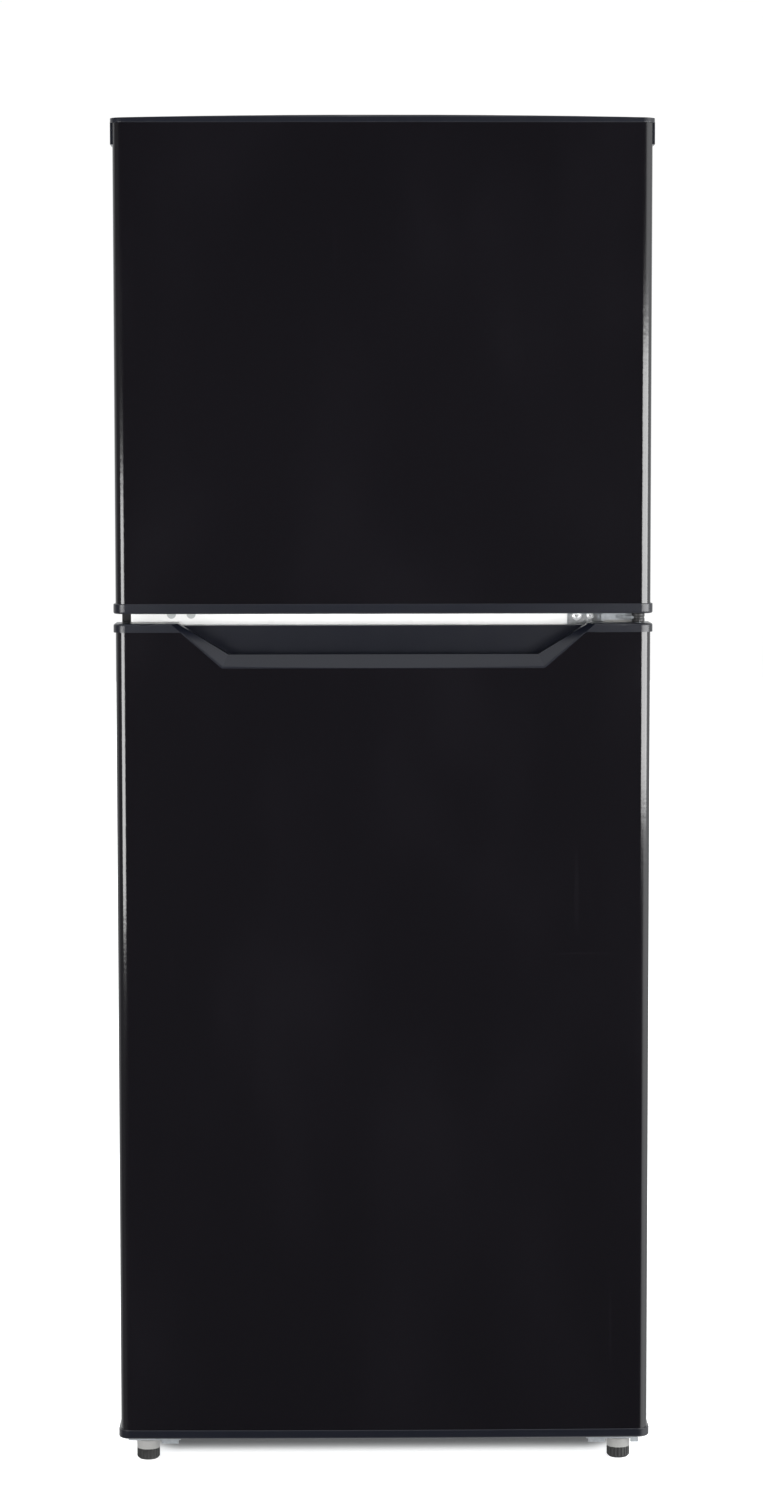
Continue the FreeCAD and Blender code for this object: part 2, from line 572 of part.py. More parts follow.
def cabinet_shell():
    """Outer steel wrapper, stepped bottom panel, back panel, centre rail and its plugs."""
    outer = box("wrapper_outer", ("-cabinet_half", "cabinet_half"), ("cabinet_front", "cabinet_rear"),
                ("cabinet_base", "cabinet_top"))
    room = box("wrapper_room", ("-cabinet_half + steel", "cabinet_half - steel"),
               ("cabinet_front + steel", "cabinet_rear + 1"), ("cabinet_base - 1", "cabinet_top - steel"))
    mouth = box("wrapper_mouth", ("-return_half", "return_half"), ("cabinet_front - 1", "cabinet_front + 2"),
                ("cabinet_base - 1", "cabinet_top - front_return"))
    panel = box("top_panel", ("-panel_half", "panel_half"), ("panel_front", "panel_rear"),
                ("cabinet_top - steel", "cabinet_top + panel_rise"))
    node("outer_wrapper", cut("wrapper_cut", fuse("wrapper_pressed", [outer, panel]), [room, mouth]))

    inside = ("-cabinet_half + steel", "cabinet_half - steel")
    back = box("back_sheet", inside, ("cabinet_rear - 1", "cabinet_rear"),
               ("machine_top + 1.5", "cabinet_top - steel"))
    node("back_panel", back)

    floor = box("deck_floor", inside, ("cabinet_front + 2", "machine_front"),
                ("cabinet_base", "cabinet_base + sheet_thick"))
    riser = box("deck_riser", inside, ("machine_front - sheet_thick", "machine_front"),
                ("cabinet_base", "machine_top"))
    ceiling = box("deck_ceiling", inside, ("machine_front - sheet_thick", "cabinet_rear"),
                  ("machine_top", "machine_top + sheet_thick"))
    node("bottom_panel", fuse("deck", [floor, riser, ceiling]))

    rail = box("rail_strip", ("-return_half", "return_half"), ("cabinet_front", "lining_front"),
               ("rail_low", "rail_high"))
    holes = [rod(f"rail_hole_{i}", "Y", (f"plug_x - {i} * plug_pitch", "cabinet_front - 1", "plug_level"),
                 "2.5", "5") for i in range(2)]
    node("centre_rail", cut("rail_cut", rail, holes))
    plugs = []
    for i in range(2):
        spot = f"plug_x - {i} * plug_pitch"
        head = rod(f"plug_head_{i}", "Y", (spot, "cabinet_front - 1.2", "plug_level"), "plug_radius", "1.2")
        stem = rod(f"plug_stem_{i}", "Y", (spot, "cabinet_front - 0.5", "plug_level"), "2.4", "2")
        plugs.append(fuse(f"plug_{i}", [head, stem]))
    node("rail_hole_plugs", group("rail_plugs", plugs))


def compartment_hollow(name, grow, low, high):
    """Inside of a compartment, or the outside of its lining when grown by the wall."""
    block = box(f"{name}_block", (f"-cavity_half - {grow}", f"cavity_half + {grow}"),
                ("cabinet_front - 1", f"cavity_rear + {grow}"), (f"{low} - {grow}", f"{high} + {grow}"))
    return rounded(name, block, f"cavity_round + {grow}", lambda e: e.CenterOfMass.y > num("cabinet_front"))


def liners_and_foam():
    """Plastic linings of both compartments and the foam between them and the steel."""
    step = "step_front"
    fridge_out = compartment_hollow("fridge_lining_out", "plastic", "fridge_floor", "fridge_ceiling")
    fridge_in = compartment_hollow("fridge_lining_in", "0", "fridge_floor", "fridge_ceiling")
    step_out = box("step_out", ("-cavity_half - 3", "cavity_half + 3"),
                   (f"{step} + plastic", "cavity_rear + 5"),
                   ("fridge_floor - 5", "step_top - plastic"))
    step_in = box("step_in", ("-cavity_half - 3", "cavity_half + 3"), (step, "cavity_rear + 5"),
                  ("fridge_floor - 5", "step_top"))
    fridge_mould = cut("fridge_mould", fridge_out, [step_out])
    fridge_room = cut("fridge_room", fridge_in, [step_in])
    freezer_mould = compartment_hollow("freezer_mould", "plastic", "freezer_floor", "freezer_ceiling")
    freezer_room = compartment_hollow("freezer_room", "0", "freezer_floor", "freezer_ceiling")
    front_clip = box("front_clip", ("-cabinet_half - 5", "cabinet_half + 5"),
                     ("cabinet_front - 20", "cabinet_front"),
                     ("0", "height"))

    ledges = []
    for count, level in enumerate(("shelf_one", "shelf_two", "shelf_three", "rack_level - 5")):
        for side, (near, far) in (("l", ("-cavity_half - 0.5", "-cavity_half + ledge_width")),
                                  ("r", ("cavity_half - ledge_width", "cavity_half + 0.5"))):
            ledges.append(box(f"ledge_{count}_{side}", (near, far), ("-205", "shelf_rear - 60"),
                              (f"{level} - 7", level)))
    fridge_flange = box("fridge_flange", ("-return_half", "return_half"), ("cabinet_front", "lining_front"),
                        ("44", "rail_low"))
    freezer_flange = box("freezer_flange", ("-return_half", "return_half"), ("cabinet_front", "lining_front"),
                         ("rail_high", "cabinet_top - front_return"))
    fridge_shell = cut("fridge_shell", fuse("fridge_lining", [fridge_mould, fridge_flange]),
                       [fridge_room, front_clip])
    freezer_shell = cut("freezer_shell", fuse("freezer_lining", [freezer_mould, freezer_flange]),
                        [freezer_room, front_clip])
    node("fridge_liner", fuse("fridge_liner_all", [fridge_shell] + ledges[:6]))
    node("freezer_liner", fuse("freezer_liner_all", [freezer_shell] + ledges[6:]))

    block = box("foam_block", ("-cabinet_half + steel", "cabinet_half - steel"),
                ("lining_front", "cabinet_rear - 1"),
                ("cabinet_base + sheet_thick", "cabinet_top - steel"))
    machine = box("foam_machine", ("-cabinet_half", "cabinet_half"),
                  ("machine_front - sheet_thick", "cabinet_rear + 1"),
                  ("0", "machine_top + sheet_thick"))
    node("cabinet_foam", cut("foam_cut", block, [fridge_mould, freezer_mould, machine]))


def hinge_arm(name, low, thick, base_points):
    """Flat hinge plate: mounting base, slanting arm and a round eye at the pivot."""
    owner = body(name)
    pad(owner, name + "_pad", "XY", low, thick, [base_points])
    eye = rod(name + "_eye", "Z", ("pivot_x", "pivot_y", low), "eye_radius", thick)
    return fuse(name + "_plate", [owner, eye])


def arm_points(base_left, base_right, base_rear):
    """Outline of the plate: the arm is as wide as the eye and leans out to the pivot."""
    slope = "(eye_radius * 0.7071)"
    return [(f"pivot_x - {slope}", f"pivot_y - {slope}"), (f"pivot_x + {slope}", f"pivot_y + {slope}"),
            ("pivot_x - 24", "cabinet_front + 1"), (base_right, "cabinet_front + 1"), (base_right, base_rear),
            (base_left, base_rear), (base_left, "cabinet_front + 1"), ("pivot_x - 52", "cabinet_front + 1")]


def hinges():
    """Top, middle and bottom hinges, the cover, the second foot bracket and all case screws."""
    thick = "hinge_thick"
    top = hinge_arm("top_arm", "cabinet_top", thick,
                    arm_points("hinge_base_left", "hinge_base_right", "hinge_base_rear"))
    top_pin = rod("top_pin", "Z", ("pivot_x", "pivot_y", "cabinet_top - pin_length + 3"), "pin_radius",
                  "pin_length")
    node("top_hinge", fuse("top_hinge_all", [top, top_pin]))

    cover = box("hinge_cover_block", ("hinge_cover_left", "hinge_cover_right"),
                ("cabinet_front + 3", "hinge_cover_rear"),
                ("cabinet_top", "cabinet_top + hinge_cover_height"))
    soft = rounded("hinge_cover_soft", cover, "4", lambda e: e.CenterOfMass.z > num("cabinet_top + 5"))
    wall = "hinge_cover_wall"
    room = box("hinge_cover_room", (f"hinge_cover_left + {wall}", f"hinge_cover_right - {wall}"),
               ("cabinet_front + 2", f"hinge_cover_rear - {wall}"),
               ("cabinet_top - 1", f"cabinet_top + hinge_cover_height - {wall}"))
    node("top_hinge_cover", cut("hinge_cover_cut", soft, [room]))

    base = "middle_hinge_base"
    owner = body("middle_arm")
    arm = [("pivot_x - eye_radius * 0.7071", "pivot_y - eye_radius * 0.7071"),
           ("pivot_x + eye_radius", "pivot_y"), ("pivot_x + eye_radius", "cabinet_front"),
           ("242", "cabinet_front"),
           ("242", "cabinet_front - 8")]
    pad(owner, "middle_arm_pad", "XY", base, thick, [arm])
    eye = rod("middle_eye", "Z", ("pivot_x", "pivot_y", base), "eye_radius", thick)
    flange = box("middle_flange", ("flange_left", "flange_right"),
                 ("cabinet_front - flange_thick", "cabinet_front"),
                 ("flange_low", "flange_high"))
    face = box("middle_stop", ("stop_left", "stop_right"),
               ("pivot_y + stop_setback", "pivot_y + stop_setback + flange_thick"), ("stop_low", "stop_high"))
    pin = rod("middle_pin", "Z", ("pivot_x", "pivot_y", f"{base} - pin_length + 2"), "pin_radius",
              "2 * pin_length")
    node("middle_hinge", fuse("middle_hinge_all", [owner, eye, flange, face, pin]))

    low = "bottom_hinge_base"
    brackets = {}
    for side, sign in (("left", -1), ("right", 1)):
        near = f"min({sign} * bracket_in; {sign} * bracket_out)"
        far = f"max({sign} * bracket_in; {sign} * bracket_out)"
        shelf = box(f"{side}_bracket_shelf", (near, far), ("bracket_front", "bracket_rear"),
                    ("bracket_low", "bracket_low + hinge_thick"))
        web = box(f"{side}_bracket_web", (near, far), ("bracket_rear - 3", "bracket_rear"),
                  ("bracket_low", "cabinet_base"))
        flange = box(f"{side}_bracket_flange", (near, far), ("bracket_front + 6", "bracket_rear"),
                     (low, "cabinet_base"))
        lip = box(f"{side}_bracket_lip", (f"{sign} * 242.5 - 9.5", f"{sign} * 242.5 + 9.5"),
                  ("bracket_front", "bracket_front + 2.5"), ("bracket_low - 4", "bracket_low + 1"))
        hole = rod(f"{side}_bracket_hole", "Z", (f"{sign} * foot_x", "foot_y", "bracket_low - 1"),
                   "stud_radius + pin_clear", "5")
        brackets[side] = ([shelf, web, flange, lip], hole)
    arm = hinge_arm("bottom_arm", low, thick, [
        ("pivot_x - eye_radius * 0.7071", "pivot_y - eye_radius * 0.7071"),
        ("pivot_x + eye_radius", "pivot_y"),
        ("bracket_out", "bracket_front + 8"), ("bracket_in", "bracket_front + 8")])
    pin = rod("bottom_pin", "Z", ("pivot_x", "pivot_y", low), "pin_radius", "pin_length + hinge_thick")
    washer = rod("bottom_shoulder", "Z", ("pivot_x", "pivot_y", low), "pin_radius + 3", "hinge_thick + 2.3")
    outer_lip = box("right_outer_lip", ("281", "bracket_out"), ("bracket_front", "bracket_front + 2.5"),
                    ("bracket_low - 4", "bracket_low + 1"))
    right_parts, right_hole = brackets["right"]
    solid = fuse("bottom_hinge_solid", right_parts + [arm, pin, washer, outer_lip])
    node("bottom_hinge", cut("bottom_hinge_cut", solid, [right_hole]))
    left_parts, left_hole = brackets["left"]
    node("left_foot_bracket", cut("left_bracket_cut", fuse("left_bracket_solid", left_parts), [left_hole]))


def fasteners():
    """One kind of pan-head screw holds the hinges, the machine cover and the tray."""
    screws = []
    for i, (x, y) in enumerate(TOP_SCREWS):
        screws.append(screw(f"top_hinge_screw_{i}", x, y, "cabinet_top + hinge_thick", "+Z"))
    for i, x in enumerate(MIDDLE_SCREWS):
        screws.append(screw(f"middle_hinge_screw_{i}", x, "cabinet_front - flange_thick",
                            "middle_screw_level", "-Y"))
    cover_holes = []
    for i, x in enumerate(COVER_SCREW_COLUMNS):
        for j, z in enumerate(COVER_SCREW_LEVELS):
            screws.append(screw(f"machine_screw_{i}_{j}", x, "cabinet_rear", z, "+Y"))
            cover_holes.append(rod(f"machine_hole_{i}_{j}", "Y", (x, "cabinet_rear - 3", z), "pilot_radius",
                                   "6"))
    machine_cover = NODES["machine_cover"]
    node("machine_cover", cut("machine_cover_drilled", machine_cover, [group("machine_drills", cover_holes)]))
    starts = [("Z", (x, y, "cabinet_top - 6")) for x, y in TOP_SCREWS]
    starts += [("Y", (x, "cabinet_front - 10", "middle_screw_level")) for x in MIDDLE_SCREWS]
    tools = [rod(f"screw_hole_{i}", axis, start, "pilot_radius", "20")
             for i, (axis, start) in enumerate(starts)]
    for name in ("top_hinge", "middle_hinge", "outer_wrapper", "cabinet_foam", "centre_rail"):
        NODES[name] = node(name, cut(name + "_drilled", NODES[name], [group(name + "_drills", tools)]))
    node("case_screws", group("screws", screws))


def feet_and_rollers():
    """Two levelling feet at the front, two plain rollers on axles at the rear."""
    for side, sign in (("left", -1), ("right", 1)):
        centre = (f"{sign} * foot_x", "foot_y", 0)
        core = turned(f"{side}_pad_core", [
            ("0", "0"), ("foot_radius - 2.4", "0"), ("foot_radius - 0.8", "1.6"),
            ("foot_radius - 0.8", "foot_pad"),
            ("0", "foot_pad")], centre)
        ribs = []
        rib_count = 20
        for k in range(rib_count):
            turn = 2 * math.pi * k / rib_count
            x = f"{sign} * foot_x + (foot_radius - 1.3) * {math.cos(turn):.6f}"
            y = f"foot_y + (foot_radius - 1.3) * {math.sin(turn):.6f}"
            ribs.append(rod(f"{side}_rib_{k}", "Z", (x, y, "2.2"), "1.3", "foot_pad - 2.2"))
        node(f"{side}_foot_pad", fuse(f"{side}_pad", [core] + ribs))
        stud = turned(f"{side}_stud_turn", [
            ("0", "foot_pad"), ("foot_radius", "foot_pad"), ("foot_radius", "foot_collar - 1"),
            ("foot_radius - 1", "foot_collar"), ("stud_radius", "foot_collar"), ("stud_radius", "stud_top"),
            ("0", "stud_top")], centre)
        node(f"{side}_foot_stud", stud)

    for side, sign in (("left", -1), ("right", 1)):
        middle = f"{sign} * roller_x"
        wheel = rod(f"{side}_wheel", "X", (f"{middle} - roller_width / 2", "roller_y", "roller_radius"),
                    "roller_radius", "roller_width")
        soft = rounded(f"{side}_wheel_soft", wheel, "1.5", lambda e: True)
        bore = rod(f"{side}_wheel_bore", "X", (f"{middle} - 20", "roller_y", "roller_radius"),
                   "axle_radius + pin_clear", "40")
        node(f"rear_roller_{side}", cut(f"{side}_wheel_cut", soft, [bore]))


def machine_compartment():
    """Compressor on its tray, drip tray, pipes, rear cover, cord gland and condenser."""
    tray_top = "cabinet_base + 2"
    tray = box("tray_plate", ("-cabinet_half + steel", "cabinet_half - steel"),
               ("machine_front", "cabinet_rear - 2"),
               ("cabinet_base", tray_top))
    cheeks = []
    for side, sign in (("left", -1), ("right", 1)):
        for j, offset in enumerate((-12.5, 10.5)):
            cheek = box(f"{side}_cheek_{j}",
                        (f"{sign} * roller_x + {offset}", f"{sign} * roller_x + {offset} + 2"),
                        ("roller_y - 12", "roller_y + 12"), ("roller_radius - 8", "cabinet_base + 1"))
            cheeks.append(cheek)
    axles = [rod(f"{side}_axle", "X", (f"{sign} * roller_x - 15", "roller_y", "roller_radius"),
                 "axle_radius", "30")
             for side, sign in (("left", -1), ("right", 1))]
    node("compressor_tray", fuse("tray_solid", [tray] + cheeks + axles))

    shell = turned("shell_turn", [
        ("0", "shell_low"), ("shell_radius - 22", "shell_low"), ("shell_radius - 6", "shell_low + 12"),
        ("shell_radius - 3", "shell_low + 70"), ("shell_radius", "shell_low + 72"),
        ("shell_radius", "shell_low + 82"),
        ("shell_radius - 3", "shell_low + 84"), ("shell_radius - 8", "shell_high - 34"),
        ("shell_radius - 26", "shell_high - 10"), ("26", "shell_high"), ("0", "shell_high")],
        ("shell_x", "shell_y", 0))
    plate = box("shell_feet", ("shell_x - 96", "shell_x + 96"), ("shell_y - 50", "shell_y + 50"),
                ("shell_low - 2", "shell_low + 1"))
    spots = [(f"shell_x + {sx} * 84", f"shell_y + {sy} * 38") for sx in (-1, 1) for sy in (-1, 1)]
    holes = [rod(f"shell_foot_hole_{i}", "Z", (x, y, "shell_low - 5"), "6", "10")
             for i, (x, y) in enumerate(spots)]
    feet = cut("shell_feet_cut", plate, holes)
    node("compressor", fuse("compressor_all", [shell, feet]))
    mounts = []
    for i, (x, y) in enumerate(spots):
        low = rod(f"mount_low_{i}", "Z", (x, y, tray_top), "pad_radius", f"shell_low - 2 - ({tray_top})")
        neck = rod(f"mount_neck_{i}", "Z", (x, y, "shell_low - 4"), "pad_neck", "8")
        mounts.append(fuse(f"mount_{i}", [low, neck]))
    node("compressor_mounts", group("mounts", mounts))
    relay = box("relay_block", ("shell_x - shell_radius - 34", "shell_x - shell_radius + 3"),
                ("shell_y - 24", "shell_y + 24"),
                ("shell_low + 26", "shell_low + 68"))
    node("start_relay", cut("relay_cut", relay, [shell]))

    tank = box("drip_block", ("shell_x - 100", "shell_x + 100"), ("machine_front + 14", "cabinet_rear - 22"),
               ("shell_high + 4", "machine_top - 8"))
    well = box("drip_well", ("shell_x - 98", "shell_x + 98"), ("machine_front + 16", "cabinet_rear - 24"),
               ("shell_high + 6", "machine_top"))
    node("drip_tray", cut("drip_cut", tank, [well]))

    pipes = []
    for name, x, level in (("suction", "suction_x", "suction_level"),
                           ("discharge", "discharge_x", "discharge_level")):
        reach = f"shell_x - shell_radius + 8 - ({x})"
        run = rod(f"{name}_run", "X", (x, "shell_y + pipe_shift", level), "pipe_radius", reach)
        bend = DOC.addObject("Part::Sphere", f"{name}_bend")
        bind(bend, "Radius", "pipe_radius")
        place(bend, x, "shell_y + 34", level)
        rise = rod(f"{name}_rise", "Z", (x, "shell_y + pipe_shift", level), "pipe_radius",
                   f"machine_top - {level}")
        pipes.append(cut(f"{name}_pipe", fuse(f"{name}_all", [run, bend, rise]), [shell]))
    drier = rod("drier", "Z", ("drier_x", "shell_y + 20", "drier_low"), "drier_radius", "drier_length")
    capillary = rod("capillary", "Z", ("drier_x", "shell_y + 20", "drier_low + drier_length - 5"), "2",
                    "machine_top - drier_low - drier_length + 5")
    pipes.append(fuse("drier_all", [drier, capillary]))
    node("refrigerant_pipes", group("pipes", pipes))

    cover = box("machine_cover_sheet", ("-cabinet_half + 6", "cabinet_half - 6"),
                ("cabinet_rear - 1.2", "cabinet_rear"),
                ("cabinet_base + 6", "machine_top - 2"))
    slots = []
    for i in range(12):
        for j, x in enumerate(("-180", "-20", "100")):
            low = f"92 + {i} * 2.2 * vent_height"
            slots.append(box(f"vent_{i}_{j}", (x, f"{x} + 90"), ("cabinet_rear - 3", "cabinet_rear + 1"),
                             (low, f"{low} + vent_height")))
    gland_hole = rod("gland_hole", "Y", ("gland_x", "cabinet_rear - 5", "gland_level"), "gland_radius", "10")
    node("machine_cover", cut("machine_cover_cut", cover, slots + [gland_hole]))
    rim_disc = rod("gland_rim", "Y", ("gland_x", "cabinet_rear", "gland_level"), "gland_rim", "3")
    neck = rod("gland_neck", "Y", ("gland_x", "cabinet_rear - 8", "gland_level"), "gland_radius", "9")
    bore = rod("gland_bore", "Y", ("gland_x", "cabinet_rear - 10", "gland_level"), "gland_bore", "20")
    node("cord_gland", cut("gland_cut", fuse("gland_solid", [rim_disc, neck]), [bore]))

    rows = 15
    coil = []
    for k in range(rows):
        level = f"condenser_low + {k} * condenser_pitch"
        coil.append(rod(f"coil_run_{k}", "X", ("-condenser_half", "condenser_y", level), "tube_radius",
                        "2 * condenser_half"))
        if k < rows - 1:
            bend = DOC.addObject("Part::Torus", f"coil_bend_{k}")
            bind(bend, "Radius1", "condenser_pitch / 2")
            bind(bend, "Radius2", "tube_radius")
            bend.Angle3 = 180
            right = k % 2 == 0
            turn = FreeCAD.Rotation(V(1, 0, 0), 90)
            spin = FreeCAD.Rotation(V(0, 1, 0), 90 if right else -90)
            bend.Placement = FreeCAD.Placement(V(), spin.multiply(turn))
            side = "condenser_half" if right else "-condenser_half"
            coil.append(place(bend, side, "condenser_y", f"{level} + condenser_pitch / 2"))
    node("condenser_coil", fuse("coil", coil))
    clips = []
    for i, x in enumerate(("-190", "190")):
        for j, row in enumerate((1, rows - 2)):
            level = f"condenser_low + {row} * condenser_pitch"
            clips.append(box(f"clip_{i}_{j}", (f"{x} - 9", f"{x} + 9"), ("cabinet_rear", "depth / 2"),
                             (f"{level} - 14", f"{level} + 14")))
    tubes = [rod(f"clip_groove_{row}", "X",
                 ("-230", "condenser_y", f"condenser_low + {row} * condenser_pitch"),
                 "tube_radius", "460") for row in (1, rows - 2)]
    grooved = []
    for i, clip in enumerate(clips):
        grooved.append(cut(f"clip_cut_{i}", clip, [tubes[i % 2]]))
    node("condenser_brackets", group("brackets", grooved))


# ---------------------------------------------------------------- compartments


def fridge_interior():
    """Glass shelves with trims, crisper frame, drawer and cover, control housing and lamp."""
    glass = []
    trims = []
    half = "cavity_half - 2"
    for i, level in enumerate(("shelf_one", "shelf_two", "shelf_three")):
        pane = box(f"pane_{i}", (f"-({half})", half), ("shelf_front", "shelf_rear"),
                   (level, f"{level} + glass_thick"))
        glass.append(pane)
        for end, (near, far) in (("front", ("shelf_front - 4", "shelf_front + trim_depth")),
                                 ("rear", ("shelf_rear - trim_depth", "shelf_rear + 4"))):
            bead = box(f"trim_{i}_{end}",
                       ("-cavity_half + ledge_width + 2", "cavity_half - ledge_width - 2"), (near, far),
                       (f"{level} - 4", f"{level} + trim_height - 4"))
            trims.append(cut(f"trim_cut_{i}_{end}",
                             rounded(f"trim_soft_{i}_{end}", bead, "2", lambda e: along(e, 0)),
                             [pane]))
    cover = box("pane_crisper", (f"-({half}) + 8", f"{half} - 8"), ("shelf_front + 6", "step_front - 1"),
                ("cover_level", "cover_level + glass_thick"))
    glass.append(cover)
    node("shelf_glass", group("panes", glass))

    rails = []
    ends = ("shelf_front + 6", "step_front - 1")
    for side, sign in (("left", -1), ("right", 1)):
        wall = f"{sign} * (cavity_half - 0.5)"
        parts = []
        for part, reach, levels in (
                ("shelf", f"{sign} * (drawer_half + 2)", ("rail_level - 3", "rail_level")),
                ("web", f"{sign} * (cavity_half - 3)", ("rail_level - 3", "cover_level")),
                ("seat", f"{sign} * (cavity_half - 16)", ("cover_level - 3", "cover_level"))):
            span = (reach, wall) if sign > 0 else (wall, reach)
            parts.append(box(f"rail_{side}_{part}", span, ends, levels))
        rails.append(fuse(f"rail_{side}", parts))
    rails.append(box("crisper_beam", ("-cavity_half + 0.5", "cavity_half - 0.5"),
                     ("shelf_front - 4", "shelf_front + 6"),
                     ("cover_level - 9", "cover_level + glass_thick + 4")))
    rails.append(box("crisper_rear_beam", ("-cavity_half + 16", "cavity_half - 16"),
                     ("step_front - 8", "step_front - 1"),
                     ("cover_level - 6", "cover_level")))
    node("shelf_frames", group("frames", trims + rails))

    block = box("drawer_block", ("-drawer_half", "drawer_half"), ("drawer_front", "drawer_rear"),
                ("drawer_low", "drawer_high"))
    soft = rounded("drawer_soft", block, "9",
                   lambda e: along(e, 0) and e.CenterOfMass.z < num("drawer_low + 1"))
    brim = box("drawer_brim", ("-drawer_half - 9", "drawer_half + 9"), ("drawer_front + 12", "drawer_rear"),
               ("rail_level + 0.4", "rail_level + 3"))
    panel = box("drawer_panel", ("-drawer_half - 6", "drawer_half + 6"),
                ("drawer_front - 4", "drawer_front + 4"),
                ("drawer_low", "drawer_high - 10"))
    scoop = box("drawer_grip", ("-60", "60"), ("drawer_front - 16", "drawer_front - 3"),
                ("drawer_high - 34", "drawer_high - 26"))
    hollow = box("drawer_hollow", ("-drawer_half + drawer_wall", "drawer_half - drawer_wall"),
                 ("drawer_front + 4", "drawer_rear - drawer_wall"),
                 ("drawer_low + drawer_wall", "drawer_high + 5"))
    node("crisper_drawer", cut("drawer_cut", fuse("drawer_solid", [soft, brim, panel, scoop]), [hollow]))

    housing = box("control_block", ("-control_half", "control_half"), ("control_front", "control_rear"),
                  ("control_low", "fridge_ceiling"))
    smooth = rounded("control_soft", housing, "control_round",
                     lambda e: e.CenterOfMass.y < num("control_front + 1")
                     and e.CenterOfMass.z < num("fridge_ceiling - 1"))
    room = box("control_room", ("-control_half + 2", "control_half - 2"),
               ("control_front + 2", "control_rear - 2"),
               ("control_low + 2", "fridge_ceiling + 1"))
    window = box("lamp_window", ("lamp_x - 38", "lamp_x + 38"), ("control_front + 24", "control_rear - 30"),
                 ("control_low - 1", "control_low + 3"))
    stem_hole = rod("stem_hole", "Y", ("knob_x", "control_front - 1", "knob_level"),
                    "stem_radius + pin_clear", "6")
    node("control_housing", cut("control_cut", smooth, [room, window, stem_hole]))
    lens = box("lens_block", ("lamp_x - 38", "lamp_x + 38"), ("control_front + 24", "control_rear - 30"),
               ("control_low - 5", "control_low + 2"))
    node("lamp_lens", rounded("lens_soft", lens, "3", lambda e: e.CenterOfMass.z < num("control_low - 4")))
    glassy = rod("bulb_glass", "X", ("lamp_x - 16", "bulb_y", "bulb_level"), "bulb_radius", "bulb_length")
    round_bulb = rounded("bulb_soft", glassy, "8", lambda e: e.CenterOfMass.x < num("lamp_x"))
    screw_cap = rod("bulb_cap", "X", ("lamp_x + 13", "bulb_y", "bulb_level"), "bulb_cap_radius", "24")
    node("lamp_bulb", fuse("bulb", [round_bulb, screw_cap]))

    knob = rod("knob_disc", "Y", ("knob_x", "control_front - knob_length", "knob_level"), "knob_radius",
               "knob_length - 0.5")
    knob_soft = rounded("knob_soft", knob, "1.5",
                        lambda e: e.CenterOfMass.y < num("control_front - knob_length + 1")
                        and not along(e, 1))
    grip = box("knob_grip", ("knob_x - 3", "knob_x + 3"),
               ("control_front - knob_length - 5", "control_front - knob_length + 1"),
               ("knob_level - 14", "knob_level + 14"))
    stem = rod("knob_stem", "Y", ("knob_x", "control_front - 2", "knob_level"), "stem_radius", "18")
    node("thermostat_knob", fuse("knob", [knob_soft, grip, stem]))

    guard = box("switch_block", ("switch_x - switch_half", "switch_x + switch_half"),
                ("switch_front", "switch_rear"),
                ("switch_low", "fridge_ceiling"))
    guide = rod("switch_guide", "Y", ("switch_x", "switch_front - 1", "switch_level"),
                "plunger_radius + pin_clear", "plunger_length")
    node("door_switch", cut("switch_cut", guard, [guide]))
    plunger = rod("plunger_rod", "Y", ("switch_x", "dike_rear + 0.4", "switch_level"), "plunger_radius",
                  "plunger_length")
    node("switch_plunger",
         rounded("plunger_soft", plunger, "1.5", lambda e: e.CenterOfMass.y < num("dike_rear + 1")
                                   and not along(e, 1)))


